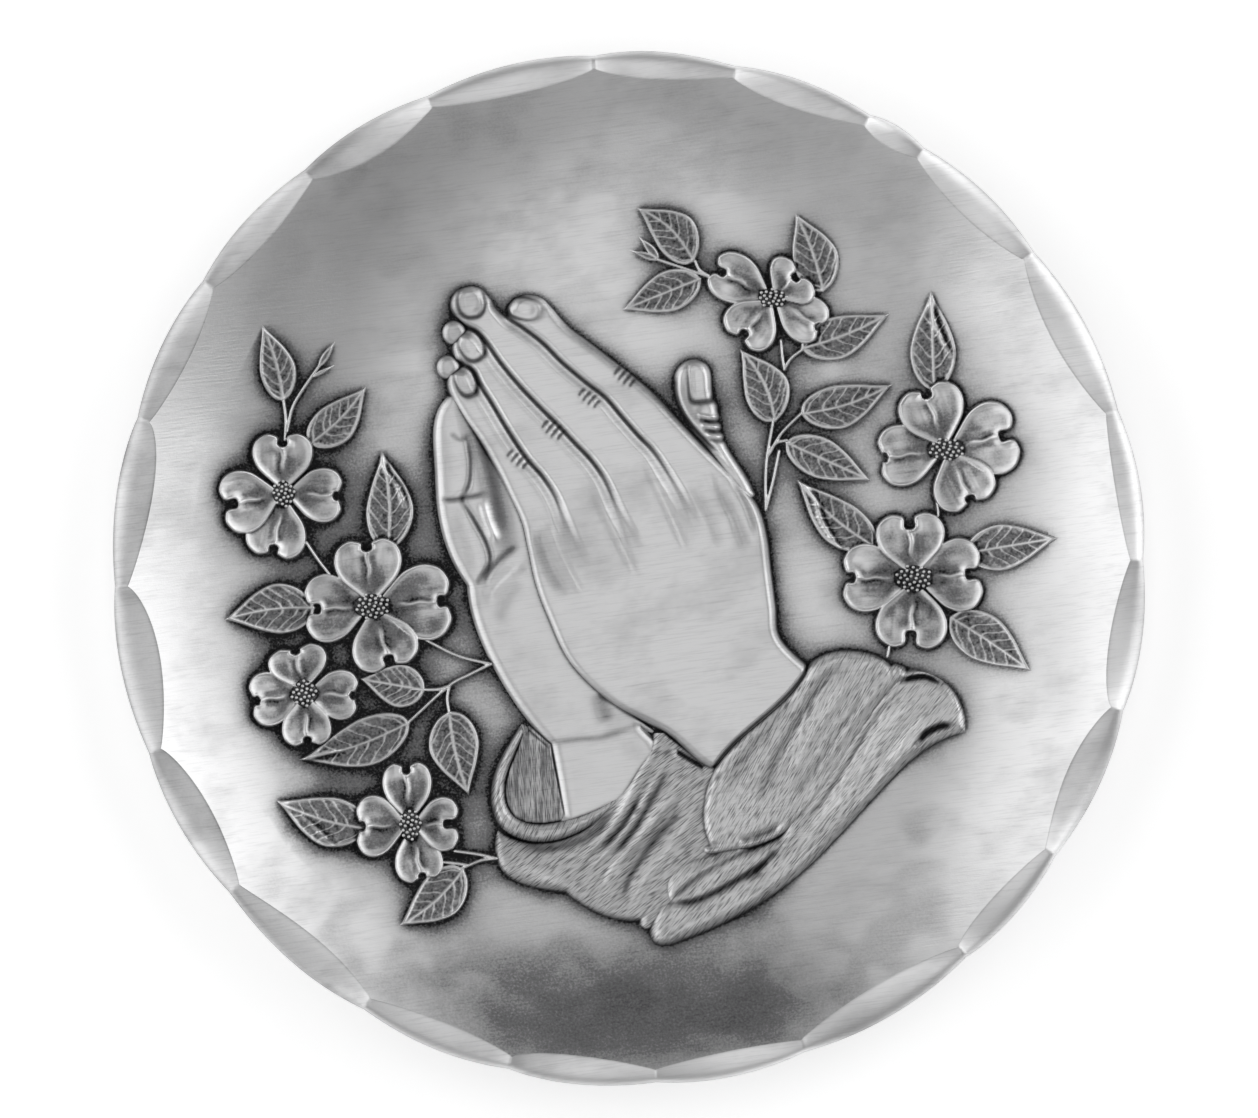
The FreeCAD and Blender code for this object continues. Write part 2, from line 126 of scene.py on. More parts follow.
def nearest(x, y, line):
    """Distance to a line, the place along it in points, and the side: positive on its left."""
    best = np.full(x.shape, 1e9)
    place = np.zeros(x.shape)
    side = np.zeros(x.shape)
    for index in range(len(line) - 1):
        ax, ay = line[index][:2]
        dx, dy = line[index + 1][:2] - line[index][:2]
        share = np.clip(((x - ax) * dx + (y - ay) * dy) / (dx * dx + dy * dy + 1e-12), 0, 1)
        off_x = x - ax - share * dx
        off_y = y - ay - share * dy
        square = off_x**2 + off_y**2
        closer = square < best
        best = np.where(closer, square, best)
        place = np.where(closer, index + share, place)
        side = np.where(closer, dx * off_y - dy * off_x, side)
    return np.sqrt(best), place, np.sign(side)


def segment_distance(x, y, segments):
    """Distance from each point to the nearest of many short segments."""
    ax, ay = segments[:, 0, 0], segments[:, 0, 1]
    dx, dy = segments[:, 1, 0] - ax, segments[:, 1, 1] - ay
    square = dx * dx + dy * dy + 1e-12
    flat_x, flat_y = x.ravel(), y.ravel()
    result = np.empty(flat_x.size)
    for start in range(0, flat_x.size, 8000):
        px = flat_x[start : start + 8000, None] - ax
        py = flat_y[start : start + 8000, None] - ay
        share = np.clip((px * dx + py * dy) / square, 0, 1)
        result[start : start + 8000] = ((px - share * dx) ** 2 + (py - share * dy) ** 2).min(1)
    return np.sqrt(result).reshape(x.shape)


def inside(x, y, segments):
    """Whether each point lies within closed outlines given as segments."""
    flat_x, flat_y = x.ravel(), y.ravel()
    crossed = np.zeros(flat_x.size, int)
    for (ax, ay), (bx, by) in segments:
        if ay != by:
            spans = (ay > flat_y) != (by > flat_y)
            crossed += spans & (flat_x < ax + (flat_y - ay) * (bx - ax) / (by - ay))
    return (crossed % 2 == 1).reshape(x.shape)


def closed(points):
    """Segments of a closed outline."""
    points = np.asarray(points, float)
    return np.stack([points, np.roll(points, -1, 0)], 1)


def depth_in(patch, outline):
    """Distance inside a closed outline, negative outside it."""
    segments = closed(outline)
    distance = segment_distance(patch.x, patch.y, segments)
    return np.where(inside(patch.x, patch.y, segments), distance, -distance)


def top_outline(node):
    """Segments round the top of a CAD node, seen from above, each with its solid on the left."""
    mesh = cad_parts[node].data
    mesh.calc_loop_triangles()
    corners = np.zeros(len(mesh.vertices) * 3)
    mesh.vertices.foreach_get("co", corners)
    corners = corners.reshape(-1, 3) / MM
    triangles = np.zeros(len(mesh.loop_triangles) * 3, int)
    mesh.loop_triangles.foreach_get("vertices", triangles)
    triangles = triangles.reshape(-1, 3)
    first, second, third = (corners[triangles[:, k]] for k in range(3))
    normal = np.cross(second - first, third - first)
    upward = normal[:, 2] > 0.3 * np.linalg.norm(normal, axis=1)
    plan, place = np.unique(np.round(corners[:, :2], 3), axis=0, return_inverse=True)
    faces = place.ravel()[triangles[upward]]
    edges = {(a, b) for face in faces for a, b in zip(face, np.roll(face, -1)) if a != b}
    rim = [edge for edge in sorted(edges) if edge[::-1] not in edges]
    return plan[np.array(rim)]


def union_depth(x, y, nodes):
    """Distance inside the joined outline of CAD nodes, negative outside it."""
    outlines = [top_outline(node) for node in nodes]
    within = np.zeros(x.shape, bool)
    kept = []
    for index, outline in enumerate(outlines):
        within |= inside(x, y, outline)
        run = outline[:, 1] - outline[:, 0]
        length = np.linalg.norm(run, axis=1)
        just_out = outline.mean(1) + 0.2 * np.stack([run[:, 1], -run[:, 0]], 1) / length[:, None]
        seam = np.zeros(len(outline), bool)
        for other in range(len(outlines)):
            if other != index:
                seam |= inside(just_out[:, 0], just_out[:, 1], outlines[other])
        kept.append(outline[~seam])
    distance = segment_distance(x, y, np.vstack(kept))
    return np.where(within, distance, -distance)


def noise(u, v, seed):
    """Smooth random field from -1 to 1 with one value per unit of u and v."""
    table = np.random.default_rng(seed).uniform(-1, 1, (128, 128))
    low_u, low_v = np.floor(u).astype(int), np.floor(v).astype(int)
    su, sv = smooth(u - low_u), smooth(v - low_v)
    a, b = table[low_u % 128, low_v % 128], table[(low_u + 1) % 128, low_v % 128]
    c, d = table[low_u % 128, (low_v + 1) % 128], table[(low_u + 1) % 128, (low_v + 1) % 128]
    return (a * (1 - su) + b * su) * (1 - sv) + (c * (1 - su) + d * su) * sv


def strokes(x, y, angle, pitch, length, seed):
    """Short scratched strokes at an angle in degrees."""
    turn = math.radians(angle)
    u = x * math.cos(turn) + y * math.sin(turn)
    v = y * math.cos(turn) - x * math.sin(turn)
    return noise(u / length + 40, v / pitch + 40, seed)


def blur(field, reach):
    """Average over a soft round window of about this reach."""
    half = max(1, int(round(reach / STEP / 1.8)))
    width = 2 * half + 1
    for _ in range(3):
        for axis in (0, 1):
            margins = [(half + 1, half) if other == axis else (0, 0) for other in (0, 1)]
            total = np.cumsum(np.pad(field, margins, mode="edge"), axis)
            upper = np.take(total, range(width, total.shape[axis]), axis)
            lower = np.take(total, range(total.shape[axis] - width), axis)
            field = (upper - lower) / width
    return field


class Patch:
    """A raised feature on part of the lattice: its height, depth inside its outline, and how dark it is:
    patina, with painted shade in places.
    """

    def __init__(self, low, high):
        margin = 2
        self.columns = slice(*np.searchsorted(AXIS, (low[0] - margin, high[0] + margin)))
        self.rows = slice(*np.searchsorted(AXIS, (low[1] - margin, high[1] + margin)))
        self.x, self.y = np.meshgrid(AXIS[self.columns], AXIS[self.rows])
        self.height = np.full(self.x.shape, -1.2)
        self.depth = np.full(self.x.shape, -9.0)
        # How dark each point is: patina in hollows, and painted shade where a feature paints it.
        self.tarnish_and_shade = np.zeros(self.x.shape)

    def raise_to(self, height, depth, tarnish_and_shade=0):
        """Adds a form. Where it is higher than what is there, it shows."""
        height = height - 1.2 * smooth((0.3 - depth) / (SKIRT + 0.3))
        higher = height > self.height
        self.tarnish_and_shade = np.where(higher, tarnish_and_shade, self.tarnish_and_shade)
        self.height = np.maximum(self.height, height)
        self.depth = np.maximum(self.depth, depth)

    def line(self, points, width, height, tarnish_and_shade=0, fade=1):
        """Adds a ridge, or a groove where height is negative, that fades out at both ends."""
        line = spline(points)
        distance, place, _ = nearest(self.x, self.y, line)
        last = len(line) - 1
        ends = 1 - fade * (1 - smooth(np.minimum(place, last - place) / (0.25 * last) + 0.02))
        self.height += height * ends * bump(distance, width) * smooth((self.depth + 0.4) / 0.8)
        self.tarnish_and_shade = np.clip(self.tarnish_and_shade + tarnish_and_shade * ends * bump(distance, width * 1.2), -1, 1)

    def nail(self, centre, half_length, half_width, angle, square=2.4):
        """Fingernail: a raised rim round a smooth plate, with a dark line outside."""
        turn = math.radians(angle)
        u = (self.x - centre[0]) * math.cos(turn) + (self.y - centre[1]) * math.sin(turn)
        v = (self.y - centre[1]) * math.cos(turn) - (self.x - centre[0]) * math.sin(turn)
        across = (np.abs(u) / half_length) ** square + (np.abs(v) / half_width) ** square
        out = (across ** (1 / square) - 1) * min(half_length, half_width)
        self.height += 0.1 * bump(out, 0.5) - 0.24 * bump(out - 0.8, 0.6) + 0.3 * smooth(-out / 1.6)
        crescent = 0.5 + 0.5 * np.clip(-u / half_length, -1, 1)
        self.tarnish_and_shade = np.clip(self.tarnish_and_shade + (0.2 + 0.5 * crescent) * bump(out - 0.7, 0.5), 0, 1)


patches = {}  # finished features: name -> (patch, CAD nodes it stands for)


def box_of(*nodes):
    """Plan corners of CAD nodes."""
    boxes = [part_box(node) for node in nodes]
    low = [min(box[0][axis] for box in boxes) / MM for axis in (0, 1)]
    high = [max(box[1][axis] for box in boxes) / MM for axis in (0, 1)]
    return low, high


# ---- hands

# Outline of the near hand's back and fingers, from the middle fingertip round by the little finger
HAND_OUTLINE = (
    (-46.6, 84.2), (-50.6, 82.9), (-53, 79.4), (-52.6, 75.8), (-49.4, 71.8), (-50.9, 69.2), (-52.7, 65.6),
    (-51.8, 61.8), (-50.6, 60.3), (-53, 58.4), (-54.2, 54.6), (-52.6, 49.6), (-49.2, 43.8), (-44.3, 36.9),
    (-39.9, 29), (-36.2, 21.2), (-32.6, 13.2), (-30.9, 5.6), (-28.7, -4.6), (-24.9, -14.8), (-18, -28.8),
    (-5, -40.9), (10.3, -48.8), (26, -60.2), (46, -54), (60, -34), (54, -29.2), (45.2, -20.4),
    (43.8, -11), (42.4, 0), (41.2, 10), (38.4, 19), (32.4, 26.6), (26.6, 32.4), (20.6, 38.4),
    (14.6, 44.8), (8.4, 51.4), (1.2, 57.6), (-4.2, 61.8), (-11, 67), (-17.8, 72.2), (-22.4, 77.4),
    (-25.6, 80.4), (-29.6, 81.4), (-33.4, 80.6), (-36.2, 77.8), (-37.4, 76.4), (-41.2, 80.6), (-43.4, 83.2))
# Grooves between the fingers, from the tips to the webs and on as soft valleys into the hand's back.
# Each ends with the share of its points at which the web is.
GROOVES = (
    (((-38.4, 77.6), (-35.4, 74), (-31.6, 71.4), (-25.6, 66.8), (-19.8, 61), (-12.9, 55.2), (-7, 50.6),
      (-2.2, 45), (2.7, 39.4), (7.4, 34.4), (12.5, 26.5), (16.4, 19.5), (19.6, 13), (22, 6)), 0.69),
    (((-51.4, 71.8), (-47.6, 71.2), (-44.6, 69.6), (-41.2, 65.4), (-37.8, 60.6), (-32.5, 54.2), (-26.6, 48),
      (-20.8, 42.2), (-15.9, 37), (-11, 31.8), (-7, 25.8), (-3.6, 18), (0.8, 9.4), (5.4, 0)), 0.75),
    (((-52.4, 60.6), (-48.6, 60), (-46, 58.2), (-44, 54.2), (-40.8, 49.2), (-37.4, 43.4), (-33.5, 37.2),
      (-30, 32.2), (-25.6, 27.2), (-22, 21.5), (-19, 14), (-15.4, 5.5), (-10.4, -4.6)), 0.72))
# Further soft valleys: line, width, depth and tarnish
VALLEYS = (
    (((-28, 13), (-26, 6), (-22.8, -2), (-18, -9)), 1.6, -0.4, 0.20),
    (((24, 27), (29, 18.5), (33, 10.5), (35, 4)), 1.6, -0.3, 0.14),
    (((29.6, 27.4), (34.6, 19), (38, 9)), 0.9, -0.3, 0.22),
    (((18, 26), (24, 15), (28, 5)), 1.5, -0.15, 0.08))
# Tendons: line, width and height
TENDONS = (
    (((4, 33), (8.6, 23.6), (13.4, 13.4), (18, 2.6)), 1.5, 0.28),
    (((-11.6, 26), (-6.6, 15.4), (-1.6, 5.4), (3.2, -4.4)), 1.5, 0.28),
    (((-24.4, 16), (-21.2, 6.6), (-17, -2), (-12.4, -9.4)), 1.4, 0.28),
    (((22, 30), (27, 20.4), (31.6, 10)), 1.4, 0.2))
# Bevel along the index finger's outer edge, darkened as a painted shadow
INDEX_BEVEL = ((-24.6, 76.6), (-17.6, 70), (-10.4, 64.6), (-3.6, 59.4),
               (2.4, 54.6), (9.6, 48.2), (16, 41.6), (22.4, 35))
FINGER_NODES = ("near_index_finger", "near_middle_finger", "near_ring_finger", "near_little_finger")
TOWARD_TIPS = (-0.72, 0.69)
# Fingernails: centre, half length, half width and angle
NAILS = (
    ((-46.6, 79), 4, 3.3, 96), ((-31, 76.9), 4.2, 2.6, -12),
    ((-46.6, 66), 3.8, 2.8, 118), ((-48.4, 55.8), 3.8, 2.3, 112))
# Knuckles: centre and half the length of their wrinkles
KNUCKLES = (((-1.4, 56.7), 2.8), ((-12, 50.4), 2.5), ((-22.8, 41), 2.8), ((-33.2, 32.3), 2.4))
# Folds of skin at the thumb's joint: line, height and tarnish
THUMB_FOLDS = (
    (((20.6, 45.6), (24, 44.9), (27.2, 45.4)), 0.45, -0.1),
    (((21.4, 43.9), (24.6, 43.4), (27.6, 43.8)), -0.5, 0.75),
    (((22, 42.4), (25.2, 41.9), (28, 42.3)), 0.5, -0.1),
    (((22.8, 40.9), (25.6, 40.5), (28.2, 40.9)), -0.5, 0.7),
    (((23.6, 39.4), (26.2, 39), (28.4, 39.5)), 0.45, -0.1),
    (((24.4, 38), (26.6, 37.7), (28.6, 38.2)), -0.35, 0.5))
# The far hand's creases and tendons: line, width, height, tarnish and how far the ends fade; the last is a
# dip at the wrist darkened with painted shade
FAR_HAND_LINES = (
    (((-47.6, 47), (-43.4, 37), (-40.6, 27), (-38.4, 17), (-36, 8)), 2.6, -0.9, 0.5, 0.5),
    (((-53.4, 46), (-52.2, 34), (-52.2, 24), (-51.5, 21.5)), 2.8, 0.2),
    (((-50.6, 18.5), (-48, 11), (-45.4, 3.5), (-45.8, -2.5)), 2.8, 0.3),
    (((-56, 20.6), (-52.5, 20.4), (-46.5, 21.4), (-41, 22.6)), 0.7, -0.3, 0.35),
    (((-53.4, 40.6), (-50.4, 38.4), (-47.6, 38.6)), 0.6, -0.2, 0.2),
    (((-48, 39), (-46.9, 32), (-47.2, 25.5), (-49.2, 20.8)), 0.8, -0.45, 0.4, 0.5),
    (((-49.2, 19.8), (-45.6, 14), (-42, 7), (-41.2, 1.5), (-44.6, -3.8)), 0.8, -0.5, 0.5, 0.5),
    (((-43.6, 20.8), (-41.6, 14), (-38.8, 7.4)), 1.3, 0.6, -0.3),
    (((-32.2, 7.4), (-36.4, 4.4), (-41, -0.6), (-43.8, -5.8)), 0.9, -0.4, 0.35),
    (((-29.6, 1.8), (-35, -1), (-39.6, -5.4), (-42.6, -10.4)), 1.8, 0.35, -0.05),
    (((-30, -3.6), (-35, -6.8), (-38, -11.4), (-39.6, -17)), 1.8, -0.2, 0.1),
    (((-24, -51.6), (-15, -50.4), (-8, -49.8), (2, -46.6)), 0.8, -0.2, 0.22, 0.6),
    # A shallow dip at the wrist, darkened with painted shade.
    (((-8.6, -36), (-7.6, -41), (-6, -46)), 2, -0.4, 0.24))


def groove(patch, points, web):
    """A thin dark slit with a broad bevel below it, turning past the web into a soft valley."""
    line = spline(points)
    distance, place, side = nearest(patch.x, patch.y, line)
    share = place / (len(line) - 1)
    beyond = smooth((share - web + 0.05) / (1 - web + 0.05))
    left = 1 - smooth((share - web) / (1 - web)) ** 1.3
    slit = bump(distance, 0.5 + 1.1 * beyond) * left * (1 - 0.8 * smooth((share - web + 0.08) / 0.2))
    bevel = (1 - smooth(distance / np.where(side < 0, 3.6, 2 + 1.4 * beyond))) * left
    within = lift(patch.depth, 1)
    patch.height -= (0.6 * slit + (1.15 - 0.25 * beyond) * bevel) * within
    # Painted shade: a grey band along the bevel of the finger below each groove, up to the web.
    below = bump(distance - 1.9, 0.9) * (side < 0) * left * (1 - beyond)
    patch.height += 0.1 * bump(distance - 3.3, 0.6) * (side < 0) * left * (1 - beyond) * within
    patch.tarnish_and_shade = np.clip(patch.tarnish_and_shade + 0.3 * slit + 0.24 * bevel * beyond + 0.24 * below, -1, 1)


def knuckle(patch, centre, spread, angle):
    """Wrinkles across a joint: dark lines with low bars of skin between, shorter towards both ends."""
    cosine, sine = math.cos(math.radians(angle)), math.sin(math.radians(angle))
    for number in range(7):
        along = (number - 3) * 0.95
        x, y = centre[0] + along * cosine, centre[1] + along * sine
        reach = spread * (1 - 0.12 * abs(number - 3))
        bar = [(x - reach * end * sine + 0.3 * end * end, y + reach * end * cosine) for end in (-1, 0, 1)]
        if number % 2:
            patch.line(bar, 0.6, 0.07, -0.1)
        else:
            patch.line(bar, 0.4, -0.06, 0.5, 0.8)


def near_hand():
    """The nearer hand's back and four fingers, with the thumb behind."""
    nodes = ("near_hand_back", *FINGER_NODES, "near_thumb")
    patch = Patch(*box_of(*nodes))
    x, y = patch.x, patch.y
    depth = depth_in(patch, spline(HAND_OUTLINE + HAND_OUTLINE[:1], 6))
    toward = x * TOWARD_TIPS[0] + y * TOWARD_TIPS[1]
    top = 3.3 - 0.9 * smooth((toward + 5) / 85) + 0.5 * smooth(depth / 24)
    height = blur(top * swelling(depth, 3), 0.6) * lift(depth, 1)
    under_cuff = smooth((union_depth(x, y, ("front_cuff", "front_cuff_roll")) + 0.3) / 1.2)
    thumb(patch, depth)
    patch.raise_to(height - 1.6 * under_cuff, depth, 0.03 + 0.1 * bump(depth, 2.6))
    for points, web in GROOVES:
        groove(patch, points, web)
    for form in VALLEYS + TENDONS:
        patch.line(*form)
    # A shallow groove along the index finger's outer edge, with painted shadow.
    patch.line(INDEX_BEVEL, 0.95, -0.1, 0.24, 0.6)
    for nail in NAILS:
        patch.nail(*nail)
    for centre, spread in KNUCKLES:
        knuckle(patch, centre, spread, -38)
    patch.height += 0.015 * strokes(x, y, 8, 0.9, 9, 5) * smooth(patch.depth / 2)
    patches["near_hand"] = (patch, nodes)


def tucked(x, y, node, over, reach):
    """Depth inside a node carried on a little way under the nodes over it, across narrow gaps."""
    own, upper = union_depth(x, y, (node,)), union_depth(x, y, over)
    joined = np.minimum(union_depth(x, y, (node, *over)), own + reach)
    return np.maximum(joined, np.minimum(np.minimum(own, upper) + reach, own + upper + 1.3 * reach))


def thumb(patch, hand):
    """The thumb behind the hand, with its squared nail and two folds at the joint."""
    own = union_depth(patch.x, patch.y, ("near_thumb",))
    depth = np.maximum(own, np.minimum(np.minimum(own, hand) + 1.4, own + hand + 1))
    patch.raise_to(2.4 * blur(swelling(depth, 3), 0.5) * lift(depth, 1), depth, 0.03)
    patch.nail((21.2, 55.4), 5, 3, 94, 5)
    for bar, height, tarnish_and_shade in THUMB_FOLDS:
        patch.line(bar, 0.55, height, tarnish_and_shade, 0.3)
    patch.line(((16.6, 58.8), (16.2, 52), (18.6, 46), (23, 40)), 0.9, -0.2, 0.16)
    patch.line(((22, 49), (20.4, 46.6), (20, 43.6)), 0.7, -0.2, 0.15)


def far_hand():
    """The farther hand: its index side, the hollow under the near hand, palm and wrist."""
    nodes = ("far_hand", "far_fingertips")
    patch = Patch(*box_of(*nodes))
    x, y = patch.x, patch.y
    depth = tucked(x, y, "far_hand", ("back_sleeve_hem", "back_sleeve", "near_hand_back"), 1.6)
    body = blur((1.6 + 0.5 * smooth(depth / 16)) * swelling(depth, 3.6), 0.8)
    patch.raise_to(body * lift(depth, 1.3), depth, 0.04)
    tips = union_depth(x, y, ("far_fingertips",))
    patch.raise_to(1.5 * swelling(tips, 2.6, 2) * lift(tips, 0.8), tips, 0.12)
    for form in FAR_HAND_LINES:
        patch.line(*form)
    patch.height += 0.015 * strokes(x, y, -12, 0.9, 8, 6) * smooth(patch.depth / 2)
    patches["far_hand"] = (patch, nodes)


# ---- sleeves


# Folds of the sleeves, and valleys where the height is negative: line, width, height, tarnish, fade
BACK_SLEEVE_FOLDS = (
    (((9, -51), (3.6, -60), (-1, -70), (-8, -80), (-19, -89)), 1.5, 1, -0.12),
    (((17, -62), (10, -71), (3, -80), (-4, -88), (-8, -98)), 1.7, 1, -0.12),
    (((11, -56), (6, -66), (0, -76), (-8, -85), (-14, -90)), 0.9, 0.4, -0.12),
    (((20, -70), (12, -82), (4, -92), (0, -102)), 1.8, 0.5, -0.12),
    (((-36, -84), (-26, -90), (-16, -94)), 2.2, 0.4, -0.12),
    (((12.5, -58), (7, -68), (1, -78), (-6, -86)), 1, -0.5, 0.3),
    (((4, -66), (-2, -76), (-10, -84)), 1, -0.5, 0.3),
    (((17, -70), (8, -80), (1, -90), (-3, -99)), 1.1, -0.5, 0.3),
    (((-34, -81), (-24, -82.6), (-12, -79), (-4, -72)), 1.2, -0.5, 0.3))
FRONT_CUFF_FOLDS = (
    (((67, -25), (58, -33), (49, -47), (42, -60), (38, -70)), 1.5, -0.7, 0.18),
    (((74, -33), (64, -46), (56, -58), (47, -70)), 1.2, -0.3, 0.18),
    (((50, -36), (42, -46), (33, -57), (28, -68)), 1.4, -0.3, 0.18),
    (((70, -28), (60, -40), (51, -54), (45, -68)), 2.4, 0.6, -0.05),
    (((77, -31), (69, -41), (60, -54), (53, -65)), 1.2, 0.6, -0.05))
CUFF_ROLL_FOLDS = (
    (((81, -35), (73, -44), (65, -57), (57, -69), (50, -77)), 0.8, -0.4, 0.2, 0.7),
    (((90, -41), (80, -48), (72, -60), (62, -74), (50, -86)), 1.4, -0.25, 0.06, 0.7),
    (((80.5, -33.2), (84, -32.2), (88, -32), (93, -34)), 0.7, -1.4, 0.8, 0.7),
    (((85, -52), (88, -48.6), (92, -46.6), (96, -46.2)), 0.9, -1.3, 0.75, 0.7),
    (((45, -82), (40, -87), (36, -91)), 0.9, -0.7, 0.5, 0.7),
    (((44, -80), (30, -85.5), (18, -93), (12, -98.5)), 0.9, -0.6, 0.3, 0.7),
    (((12, -98.5), (20, -98), (32, -92), (40, -87)), 0.9, -0.9, 0.5, 0.7),
    (((84, -38), (76, -46), (68, -59), (58, -73), (46, -86)), 1.6, 0.4, -0.1),
    (((80, -31), (88, -30.6), (95, -36), (98.6, -45)), 0.9, 1, -0.1),
    (((92, -43), (84, -48), (77, -59), (66, -72)), 1.6, 0.3, -0.1),
    (((36, -84), (26, -87.5), (16, -92)), 1.6, 0.5, -0.1))


def sleeve_lining():
    """What shows of the inside of the farther sleeve."""
    patch = Patch(*box_of("back_sleeve_lining"))
    x, y = patch.x, patch.y
    depth = tucked(x, y, "back_sleeve_lining", ("far_hand", "back_sleeve_hem"), 1.2)
    hatch = strokes(x, y, 92, 0.75, 7, 21)
    patch.raise_to(1.1 * smooth(depth / 1.5) + 0.12 * hatch, depth, 0.3 - 0.16 * hatch)
    patches["back_sleeve_lining"] = (patch, ("back_sleeve_lining",))


def sleeve_hem():
    """The farther cuff's rolled edge."""
    patch = Patch(*box_of("back_sleeve_hem"))
    depth = union_depth(patch.x, patch.y, ("back_sleeve_hem",))
    patch.raise_to(2.9 * blur(swelling(depth, 2.6, 2), 0.6) * lift(depth, 1), depth, 0.1)
    cloth(patch, 60, 23, 0.8)
    patches["back_sleeve_hem"] = (patch, ("back_sleeve_hem",))


def back_sleeve():
    """The farther sleeve below its hem, pulled into diagonal folds."""
    patch = Patch(*box_of("back_sleeve"))
    x, y = patch.x, patch.y
    depth = tucked(x, y, "back_sleeve", ("far_hand", "near_hand_back", "front_cuff", "front_cuff_roll"), 3)
    patch.raise_to(blur(2 * swelling(depth, 3.6), 1.2) * lift(depth, 1.2), depth, 0.16)
    for fold in BACK_SLEEVE_FOLDS:
        patch.line(*fold)
    cloth(patch, 35, 24, 0.6)
    patches["back_sleeve"] = (patch, ("back_sleeve",))


def front_cuff():
    """The nearer cuff: cloth gathered into folds, worked all over with short strokes."""
    patch = Patch(*box_of("front_cuff"))
    x, y = patch.x, patch.y
    depth = tucked(x, y, "front_cuff", ("front_cuff_roll",), 2.5)
    body = blur((3.3 + 0.7 * smooth(depth / 14)) * swelling(depth, 3.6), 0.8)
    patch.raise_to(body * lift(depth, 1.3), depth, 0.06)
    for fold in FRONT_CUFF_FOLDS:
        patch.line(*fold)
    cloth(patch, 62, 25)
    patches["front_cuff"] = (patch, ("front_cuff",))


# Direction of the metal's strokes on each part of the sleeves, in degrees
HATCHES = {"front_cuff": 60, "front_cuff_roll": 50, "back_sleeve": 38,
           "back_sleeve_hem": 62, "back_sleeve_lining": 94}


def cloth(patch, angle, seed, strength=1):
    """Works a surface all over with short strokes."""
    hatch = strokes(patch.x, patch.y, angle, 0.65, 2.6, seed)
    edge = smooth(patch.depth / 1.2) * strength
    patch.height += 0.05 * hatch * edge
    patch.tarnish_and_shade = np.clip(patch.tarnish_and_shade + 0.1 * smooth(-hatch) * edge, -1, 1)


def cuff_roll():
    """The lower, turned-back fold of the nearer cuff, with an open lip at its far end."""
    patch = Patch(*box_of("front_cuff_roll"))
    depth = tucked(patch.x, patch.y, "front_cuff_roll", ("front_cuff",), 1.2)
    patch.raise_to(blur(3 * swelling(depth, 4.6), 0.9) * lift(depth, 1.3), depth, 0.06)
    for fold in CUFF_ROLL_FOLDS:
        patch.line(*fold)
    cloth(patch, 55, 29)
    patches["front_cuff_roll"] = (patch, ("front_cuff_roll",))


# ---- leaves, twigs and buds

# Leaves: base, tip, width, and how far the midrib bows to its left
LEAVES = {
    "leaf_left_1": ((-102, 49.2), (-108.2, 72), 10.9, -1),
    "leaf_left_2": ((-94.8, 36.5), (-77.6, 54), 12.5, -1.3),
    "leaf_left_3": ((-71.5, 5), (-73.2, 35), 14.4, -1.5),
    "leaf_left_4": ((-92.5, -11.5), (-119.4, -15), 15.3, -1.2),
    "leaf_left_5": ((-60, -35.9), (-79.8, -32.5), 13.2, 0),
    "leaf_left_6": ((-64.5, -45.2), (-97.3, -56.4), 14.5, 1.5),
    "leaf_left_7": ((-53.2, -41.8), (-47.3, -67.2), 15.3, -1),
    "leaf_left_8": ((-76.5, -76.8), (-104.1, -68.2), 15, 1.5),
    "leaf_left_9": ((-48.6, -88.4), (-67.8, -105.3), 14, 1.5),
    "leaf_top_1": ((19.4, 90.6), (2.2, 106.8), 13.4, -2.2),
    "leaf_top_2": ((21.6, 86), (-2.3, 76.4), 12.5, 0),
    "leaf_top_3": ((57.5, 81.5), (49.1, 105), 14, -1),
    "leaf_top_4": ((50.5, 65), (77.3, 75.5), 13, -1),
    "leaf_top_5": ((43.4, 43.2), (32.7, 65.2), 14, -2),
    "leaf_top_6": ((50.4, 45.8), (78.2, 54.7), 13.4, -1.6),
    "leaf_top_7": ((46, 37.6), (71.9, 25.9), 12.5, 0),
    "leaf_right_1": ((90.2, 52), (89.1, 82), 13.8, 0),
    "leaf_right_2": ((73.5, 6), (49.5, 26.6), 13.6, 1.6),
    "leaf_right_3": ((99, 4.5), (126.6, 9.2), 14, 0),
    "leaf_right_4": ((94.5, -14), (118.6, -30.2), 14.5, 0.5),
}
LEAF_SHAPE = ((0, 0), (0.07, 0.5), (0.22, 0.88), (0.42, 1), (0.64, 0.74), (0.84, 0.32), (1, 0))
# Leaf edges that curl over: a line along the curl
CURLS = {
    "leaf_left_3": ((-66.4, 18.5), (-68.8, 25), (-72.4, 29.5), (-73.2, 35)),
    "leaf_left_6": ((-86, -53.6), (-91, -54.6), (-97.3, -56.4)),
    "leaf_left_8": ((-88, -80.6), (-95, -74), (-104.1, -68.2)),
    "leaf_right_1": ((94.8, 62.5), (91.4, 69.5), (89.4, 75), (89.1, 82)),
    "leaf_right_2": ((63, 4.6), (57, 14), (54.5, 21.5), (49.5, 26.6)),
}


def measured_from(base, tip, forward, left):
    """Plan points measured along and to the left of the line from a base to a tip."""
    length = math.dist(base, tip)
    dx, dy = (tip[0] - base[0]) / length, (tip[1] - base[1]) / length
    return np.stack([base[0] + dx * forward - dy * left, base[1] + dy * forward + dx * left], -1)


def local(patch, base, tip):
    """Distances along and to the left of the line from a base to a tip."""
    length = math.dist(base, tip)
    dx, dy = (tip[0] - base[0]) / length, (tip[1] - base[1]) / length
    off_x, off_y = patch.x - base[0], patch.y - base[1]
    return off_x * dx + off_y * dy, off_y * dx - off_x * dy


def blade(base, tip, width, bow=0, steps=10):
    """Outline of a pointed leaf or scale."""
    shares, spreads = spline(LEAF_SHAPE, steps).T
    middle = bow * np.sin(math.pi * shares)
    forward = shares * math.dist(base, tip)
    sides = [measured_from(base, tip, forward, side * spreads * width / 2 + middle) for side in (1, -1)]
    return np.vstack([sides[0], sides[1][-2:0:-1]])


